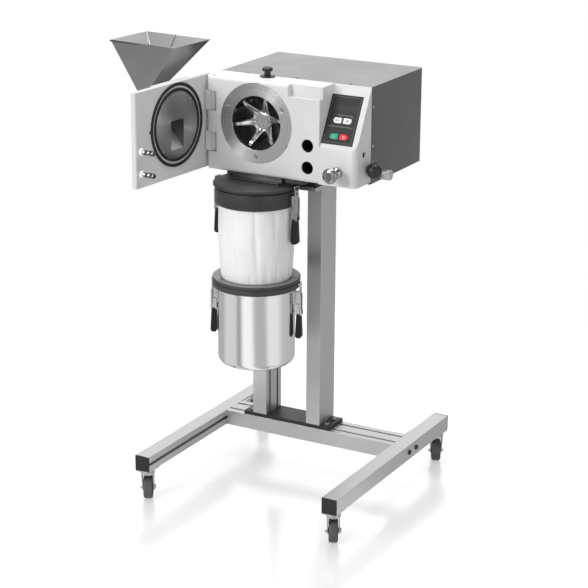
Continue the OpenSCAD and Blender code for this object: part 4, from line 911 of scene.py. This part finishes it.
def makeHopper():
    s = hopperSet

    def rims(side):
        return [[(x0, o0, z), (x1, o0, z), (x1, o1, z), (x0, o1, z), (x0, step, z + drop)]
                for x0, o0, x1, o1, z, step, drop in s[side]]

    def chute(inset):  # three rings, each side moved by the sheet's thickness where the inner ones need it
        x0, x1 = s["chuteX"][0] + inset, s["chuteX"][1] - inset
        rows = [[v + inset * by for v, by in zip(row, moves)] for row, moves in zip(s["chute"], s["chuteIn"])]
        return [[(x0, o0, z0), (x1, o0, z0), (x1, o1, z1), (x0, o1, z1)] for o0, o1, z0, z1 in rows]

    def hopperPiece(bm, name, finish, sharp, **more):
        joined(bm, name, finish, "hopper_steel", "door", sharp=sharp, **more)

    hopperPiece(shell(rims("outer"), rims("inner")), "hopperFunnel", "hopperSteel", 12, replaced=("hopper",), edge=0.5)
    # the rolled hem carries the painted shade under the lip
    hopperPiece(addTube(bmesh.new(), s["hem"], s["hemR"], 14, doorAt), "hopperHem", "hemSteel", 50)
    hopperPiece(addTube(bmesh.new(), s["seam"], 1.1, 8, doorAt), "hopperSeam", "seamSteel", 60)
    bm = bmesh.new()
    addSkin(bm, [ringOf(bm, [(x + d, off, z) for x, off, z in s["lap"]], doorOff) for d in s["lapX"]])
    hopperPiece(bm, "hopperLap", "hopperSteel", 12)
    # the lap edge carries the painted shade along the lap
    hopperPiece(addTube(bmesh.new(), s["lapEdge"], 0.9, 8, doorAt), "hopperLapEdge", "hemSteel", 60)
    hopperPiece(shell(chute(0), chute(s["sheet"])), "hopperChute", "hopperSteel", 20)


makeSeals()
makeDoorPlate()
makeBolts()
makeHopper()
print("stage: door made")

# Controls

slopeSet = {"foldY": -95, "foldZ": 920, "angle": 28.2, "left": 111.2, "low": 13}
slopeUp = Vector((0, math.sin(math.radians(slopeSet["angle"])), math.cos(math.radians(slopeSet["angle"]))))
panelAt = spot((slopeSet["left"], slopeSet["foldY"] + slopeUp.y * slopeSet["low"],
                slopeSet["foldZ"] + slopeUp.z * slopeSet["low"]), (0, -slopeUp.z, slopeUp.y), (1, 0, 0))
# on the panel: frame, rules and display as (x, y, width, height)
filmSet = {"frame": [(4.5, 4.5, 75, 0.55), (4.5, 118.95, 75, 0.55), (4.5, 4.5, 0.55, 115), (78.95, 4.5, 0.55, 115)],
           "rules": [(9, 44.3, 64, 0.715), (27.5, 73, 38.5, 0.715), (66, 66, 0.715, 7.7)],
           "display": [(11, 84, 68, 14, 1.0)]}
# middle, finish, slot, corner radii left and right, finish and bars of the mark
keySet = {"start_key": ((30, 20), "keyGreen", "key_green", (6.6, 1.0), "markWhite", [(-0.6, -3, 1.2, 6)]),
          "stop_key": ((56.5, 20), "keyRed", "key_red", (1.0, 6.6), "markWhite", []),
          "minus_key": ((30, 60), "keyPale", "key_blue", (6.6, 1.0), "blackMatt", [(-3.2, -0.75, 6.4, 1.5)]),
          "plus_key": ((56.5, 60), "keyPale", "key_blue", (1.0, 6.6), "blackMatt",
                       [(-3.2, -0.75, 6.4, 1.5), (-0.75, 0.75, 1.5, 2.45), (-0.75, -3.2, 1.5, 2.45)])}
capSet = {"half": (11, 7), "base": -1.6, "top": 1.6, "edge": 0.7, "markZ": (1.5, 1.68),
          "stopMark": [(2.2, 1.5), (3.2, 1.5), (3.2, 1.68), (2.2, 1.68)]}


def makePanel():
    for part, name, finish, low, high in (("frame", "panelFrameLine", "lineDim", 0.7, 0.86),
                                          ("rules", "panelRules", "line", 0.7, 0.87),
                                          ("display", "panelDisplay", "display", 0.6, 0.88)):
        bm = bmesh.new()
        for area in filmSet[part]:
            addSlab(bm, oblong(*area), low, high, panelAt, 5)
        joined(bm, name, finish, "panel_black")


def makeKeys():
    s = capSet
    w, h = s["half"]
    for name, ((x, y), finish, slotName, (left, right), markFinish, bars) in keySet.items():
        outline = [(x - w, y - h, left), (x + w, y - h, right), (x + w, y + h, right), (x - w, y + h, left)]
        joined(addCrowned(bmesh.new(), outline, s["base"], s["top"], s["edge"], panelAt, 6), name + "Cap", finish,
               slotName, bodyOf[name], (name,))
        bm = bmesh.new()
        for dx, dy, wide, high in bars:
            addSlab(bm, oblong(x + dx, y + dy, wide, high), *s["markZ"], panelAt)
        if not bars:
            addLathe(bm, s["stopMark"], panelAt @ turnedZ(0, (x, y, 0)), 32)
        joined(bm, name + "Mark", markFinish, slotName, bodyOf[name])


knobSet = {"at": (159, 0, 864.5), "section": [(0, 94.3), (14, 95.3, 0.6), (14, 102.3, 3), (9, 108.3, 4), (9, 121, 6),
                                              (13, 127, 4), (18.4, 129, 3), (19.4, 133, 2.6), (17.8, 136.6, 4),
                                              (11, 139.6, 8), (0, 140)]}
pullSet = {"at": (-68, -32, 1063.7), "washer": (18.8, 0.05, 2.8), "washerIn": 8.3, "seam": 13.8,
           "section": [(0, -18), (7.9, -18), (7.9, 14.3, 1.5), (12.9, 14.9, 1.4), (12.9, 21.8, 2.4), (8, 24.3, 3),
                       (0, 24.3)]}
leverSet = {"at": (209.7, 41, 839), "rodAt": (230.5, 41, 839), "tilt": 19.2, "ball": 19.4, "ballAt": 85,
            "ballFrom": -73, "ballTurns": 163, "ballSteps": 40,
            "rod": [(0, 0), (6.4, 0), (5.6, 16, 4), (4.6, 30, 6), (4.6, 61, 2), (5, 66), (5, 72), (0, 72)],
            "hub": [(0, -149.6), (6, -149.6), (6, 0.35), (13, 0.35, 0.8), (13, 27, 2.2), (0, 27)],
            "bore": [(5.3, 71.8), (5.3, 66.2), (6.2, 66.1)]}


def makeKnobs():
    joined(addLathe(bmesh.new(), knobSet["section"], turnedZ(90, knobSet["at"], "X"), 96, 7), "frontKnobTurned",
           "knobChrome", "chrome", bodyOf["front_knob"], ("front_knob",), 30)
    s = pullSet
    at = turnedZ(0, s["at"])
    joined(addLathe(bmesh.new(), s["section"], at, 64, 5), "pullKnobTurned", "blackSatin", "black_plastic",
           bodyOf["pull_knob"], ("pull_knob",), 40)
    bm = bmesh.new()
    r, low, high = s["washer"]
    outer = [(x, min(y, s["seam"])) for x, y in circle(72, r)]  # cut where shell and casing meet
    inner = circle(72, s["washerIn"])
    addSkin(bm, [ringOf(bm, [(x, y, h) for x, y in side], at)
                 for side, h in ((outer, low), (outer, high), (inner, high), (inner, low))], True)
    joined(bm, "pullKnobWasher", "blackSatin", "black_plastic", sharp=40)


def makeLever():
    s = leverSet
    hub = addLathe(bmesh.new(), s["hub"], spot(s["at"], (1, 0, 0), (0, 1, 0)), 64)
    joined(hub, "leverHub", "satinSteel", "chrome", bodyOf["lever_arm"], ("lever_arm",))
    tilt = math.radians(s["tilt"])
    at = spot(s["rodAt"], (0, -math.cos(tilt), math.sin(tilt)), (1, 0, 0))
    joined(addLathe(bmesh.new(), s["rod"], at, 40), "leverRod", "chrome", "chrome", bodyOf["lever_arm"], (), 40)
    steps = s["ballSteps"]
    turns = [math.radians(s["ballFrom"] + s["ballTurns"] * k / steps) for k in range(1, steps)]
    sphere = [(s["ball"] * math.cos(a), s["ballAt"] + s["ball"] * math.sin(a)) for a in turns]
    outline = s["bore"] + sphere + [(0, s["ballAt"] + s["ball"]), (0, s["bore"][0][1])]
    joined(addLathe(bmesh.new(), outline, at, 72), "leverBallTurned", "ballBlack", "ball_black", bodyOf["lever_ball"],
           ("lever_ball",), 45)


makePanel()
makeKeys()
makeKnobs()
makeLever()
print("stage: controls made")

# Castors: half sections of tyre and rim, and the race under the plate, down from the fork's crown

castorSet = {"spots": {"front_left": (-265.5, -294, 0), "front_right": (265.5, -294, 0),
                       "rear_left": (-265.5, 294, 0), "rear_right": (265.5, 294, 0)}, "turn": 28.75, "trail": 14,
             "radius": 30, "tyre": [(21.5, -9, 1), (24.5, -11.5, 1.5), (27.4, -11.5, 3), (30, -7, 5)],
             "rim": [(4.1, -12.8, 0), (8, -12.8, 1), (8, -7.5, 2), (17, -5.5, 2), (20.5, -9.1, 1), (21.7, -8.9, 0)],
             "race": [(6, 6, 0), (18.4, 6, 1.2), (18.4, 2.2, 1.6), (13, 0.1, 1.5), (6, 0.1, 0)]}


def makeCastor(name):
    s = castorSet
    base = turnedZ(s["turn"], s["spots"][name])
    axle = base @ spot((0, s["trail"], s["radius"]), (1, 0, 0), (0, 1, 0))
    wheel = name + "_wheel"
    tyre, rim = (s[part] + [(x, -z, r) for x, z, r in reversed(s[part])] for part in ("tyre", "rim"))
    joined(addLathe(bmesh.new(), tyre, axle, 72, 5), name + "Tyre", "tyre", "tyre_grey", wheel, (wheel,))
    joined(addLathe(bmesh.new(), rim, axle, 60), name + "Rim", "guard", "tyre_grey", wheel)
    dressed(name + "_fork", "zinc", 0.5)
    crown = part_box(name + "_fork")[1].z / mm
    race = [(x, crown - down, r) for x, down, r in s["race"]]
    joined(addLathe(bmesh.new(), race, base, 48), name + "Race", "zinc", "zinc", name + "_fork")


for name in castorSet["spots"]:
    makeCastor(name)
print("stage: castors made")

# Studio: bands give the brightness round the object by angle from the front

studio = {"floorHalf": 7.0, "floorTone": 0.8, "floorGlow": 1.9, "glowShare": 0.34, "fadeFrom": 0.75, "fadeTo": 1.7,
          "floorSeen": 0.95, "glossShare": 0.3, "glossRough": 0.2, "ambient": 0.32, "front": -61.25,
          "rimFrom": 0.34, "rimTo": 0.62,
          "bands": [(-180, 1.25), (-152, 1.15), (-128, 0.35), (-96, 0.55), (-62, 0.5), (-55, 0.1), (-48, 0.1),
                    (-41, 1.0), (-18, 1.0), (-7, 0.36), (20, 0.36), (31, 1.0), (62, 1.0), (80, 0.42), (128, 0.3),
                    (152, 1.15), (180, 1.25)],
          "highBands": [(-180, 1.0), (-140, 0.8), (-110, 0.14), (0, 0.12), (70, 0.22), (110, 0.6), (150, 0.85),
                        (180, 1.0)],
          "floorBands": [(-180, 0.55), (-112, 0.5), (-96, 0.8), (-62, 0.78), (-55, 0.4), (-48, 0.4), (-41, 1.15),
                         (-18, 1.15), (-7, 0.56), (20, 0.54), (31, 0.95), (62, 0.92), (80, 0.62), (130, 0.55),
                         (180, 0.55)]}
lamps = {
    "key": {"at": (-1.6, -3.6, 2.3), "size": 1.5, "power": 84.0, "shine": 0.15},
    "fill": {"at": (3.0, -2.0, 1.5), "size": 2.0, "power": 16.0, "shine": 0.1},
    "top": {"at": (-0.2, 0.3, 3.3), "size": 2.0, "power": 60.0, "shine": 0.15},
}
view = {"at": (2.2012, -4.0271, 1.9835), "azimuth": 28.75, "elevation": 17.81, "roll": 0.36, "focalPixels": 1909.13,
        "framePixels": 588, "sensor": 36.0}


def cards(way, bands):  # the bright and dark cards that metal sees round the object
    turn = way.calc("ARCTAN2", way.part(1), way.part(0))
    share = (turn - math.radians(studio["front"])) / (2 * math.pi) + 0.5
    share = share.calc("FLOORED_MODULO", share, 1.0)
    stops = [((place + 180) / 360, tone) for place, tone in studio[bands]]
    return share.node("ShaderNodeValToRGB", {"stops": stops}, {0: share})


def rays(tree):  # which rays come from the camera or a glossy bounce
    tree.nodes.clear()
    path = tree.nodes.new("ShaderNodeLightPath")
    return Wire(tree, path.outputs["Is Camera Ray"]), Wire(tree, path.outputs["Is Glossy Ray"])


def makeFloor():
    half = studio["floorHalf"]
    data = bpy.data.meshes.new("floor")
    data.from_pydata([(-half, -half, 0), (half, -half, 0), (half, half, 0), (-half, half, 0)], [], [(0, 1, 2, 3)])
    floor = newObject("floor", data)
    made = bpy.data.materials.new("floorPaper")
    made.use_nodes = True
    tree = made.node_tree
    camera, glossy = rays(tree)
    place = Wire(tree, tree.nodes.new("ShaderNodeTexCoord").outputs["Object"])
    away = (place.part(0) ** 2.0 + place.part(1) ** 2.0) ** 0.5
    fade = ranged(away, 0, 1, studio["fadeFrom"], studio["fadeTo"])

    def light(colour, strength):
        return camera.node("ShaderNodeEmission", None, {"Color": colour, "Strength": strength})

    def mixed(share, first, second):
        return camera.node("ShaderNodeMixShader", None, {0: share, 1: first, 2: second})

    paper = camera.node("ShaderNodeBsdfDiffuse", None, {"Color": grey(studio["floorTone"])})
    gloss = camera.node("ShaderNodeBsdfGlossy", None, {"Color": grey(1.0), "Roughness": studio["glossRough"]})
    near = mixed(studio["glowShare"], paper, light(grey(1.0), studio["floorGlow"]))
    near = mixed(studio["glossShare"], near, gloss)
    seen = light(cards(place, "floorBands"), studio["floorSeen"])
    lit = mixed(camera, mixed(glossy, paper, seen), mixed(fade, near, light(grey(1.0), 1.0)))
    tree.links.new(lit.socket, tree.nodes.new("ShaderNodeOutputMaterial").inputs["Surface"])
    data.materials.append(made)


def makeWorld():
    world = bpy.data.worlds.new("studioWorld")
    bpy.context.scene.world = world
    world.use_nodes = True
    tree = world.node_tree
    camera, glossy = rays(tree)
    way = Wire(tree, tree.nodes.new("ShaderNodeTexCoord").outputs["Generated"])
    rim = ranged(way.part(2), 0, 1, studio["rimFrom"], studio["rimTo"])
    base = mixTone(glossy, grey(studio["ambient"]), mixTone(rim, cards(way, "bands"), cards(way, "highBands")))
    shown = mixTone(camera, base, grey(1.0))
    back = shown.node("ShaderNodeBackground", None, {"Color": shown, "Strength": 1.0})
    tree.links.new(back.socket, tree.nodes.new("ShaderNodeOutputWorld").inputs["Surface"])


def makeLamps():
    aim = Vector((0, 0, 0.75))
    for name, lamp in lamps.items():
        data = bpy.data.lights.new(name, "AREA")
        data.size = lamp["size"]
        data.energy = lamp["power"]
        data.specular_factor = lamp["shine"]
        made = newObject(name, data)
        made.location = lamp["at"]
        made.rotation_mode = "QUATERNION"
        made.rotation_quaternion = (aim - made.location).to_track_quat("-Z", "Y")


def makeCamera():
    a, e, r = (math.radians(view[k]) for k in ("azimuth", "elevation", "roll"))
    back = Vector((math.sin(a) * math.cos(e), -math.cos(a) * math.cos(e), math.sin(e)))
    right = Vector((math.cos(a), math.sin(a), 0))
    up = back.cross(right)
    turn = Matrix((right * math.cos(r) + up * math.sin(r), up * math.cos(r) - right * math.sin(r), back)).transposed()
    data = bpy.data.cameras.new("camera")
    data.sensor_width = view["sensor"]
    data.lens = view["focalPixels"] / view["framePixels"] * view["sensor"]
    data.clip_start = 0.1
    data.clip_end = 100
    made = newObject("camera", data)
    made.matrix_world = Matrix.Translation(view["at"]) @ turn.to_4x4()
    bpy.context.scene.camera = made


makeFloor()
makeWorld()
makeLamps()
makeCamera()
bpy.context.scene.view_settings.view_transform = "Standard"
print("stage: studio ready")
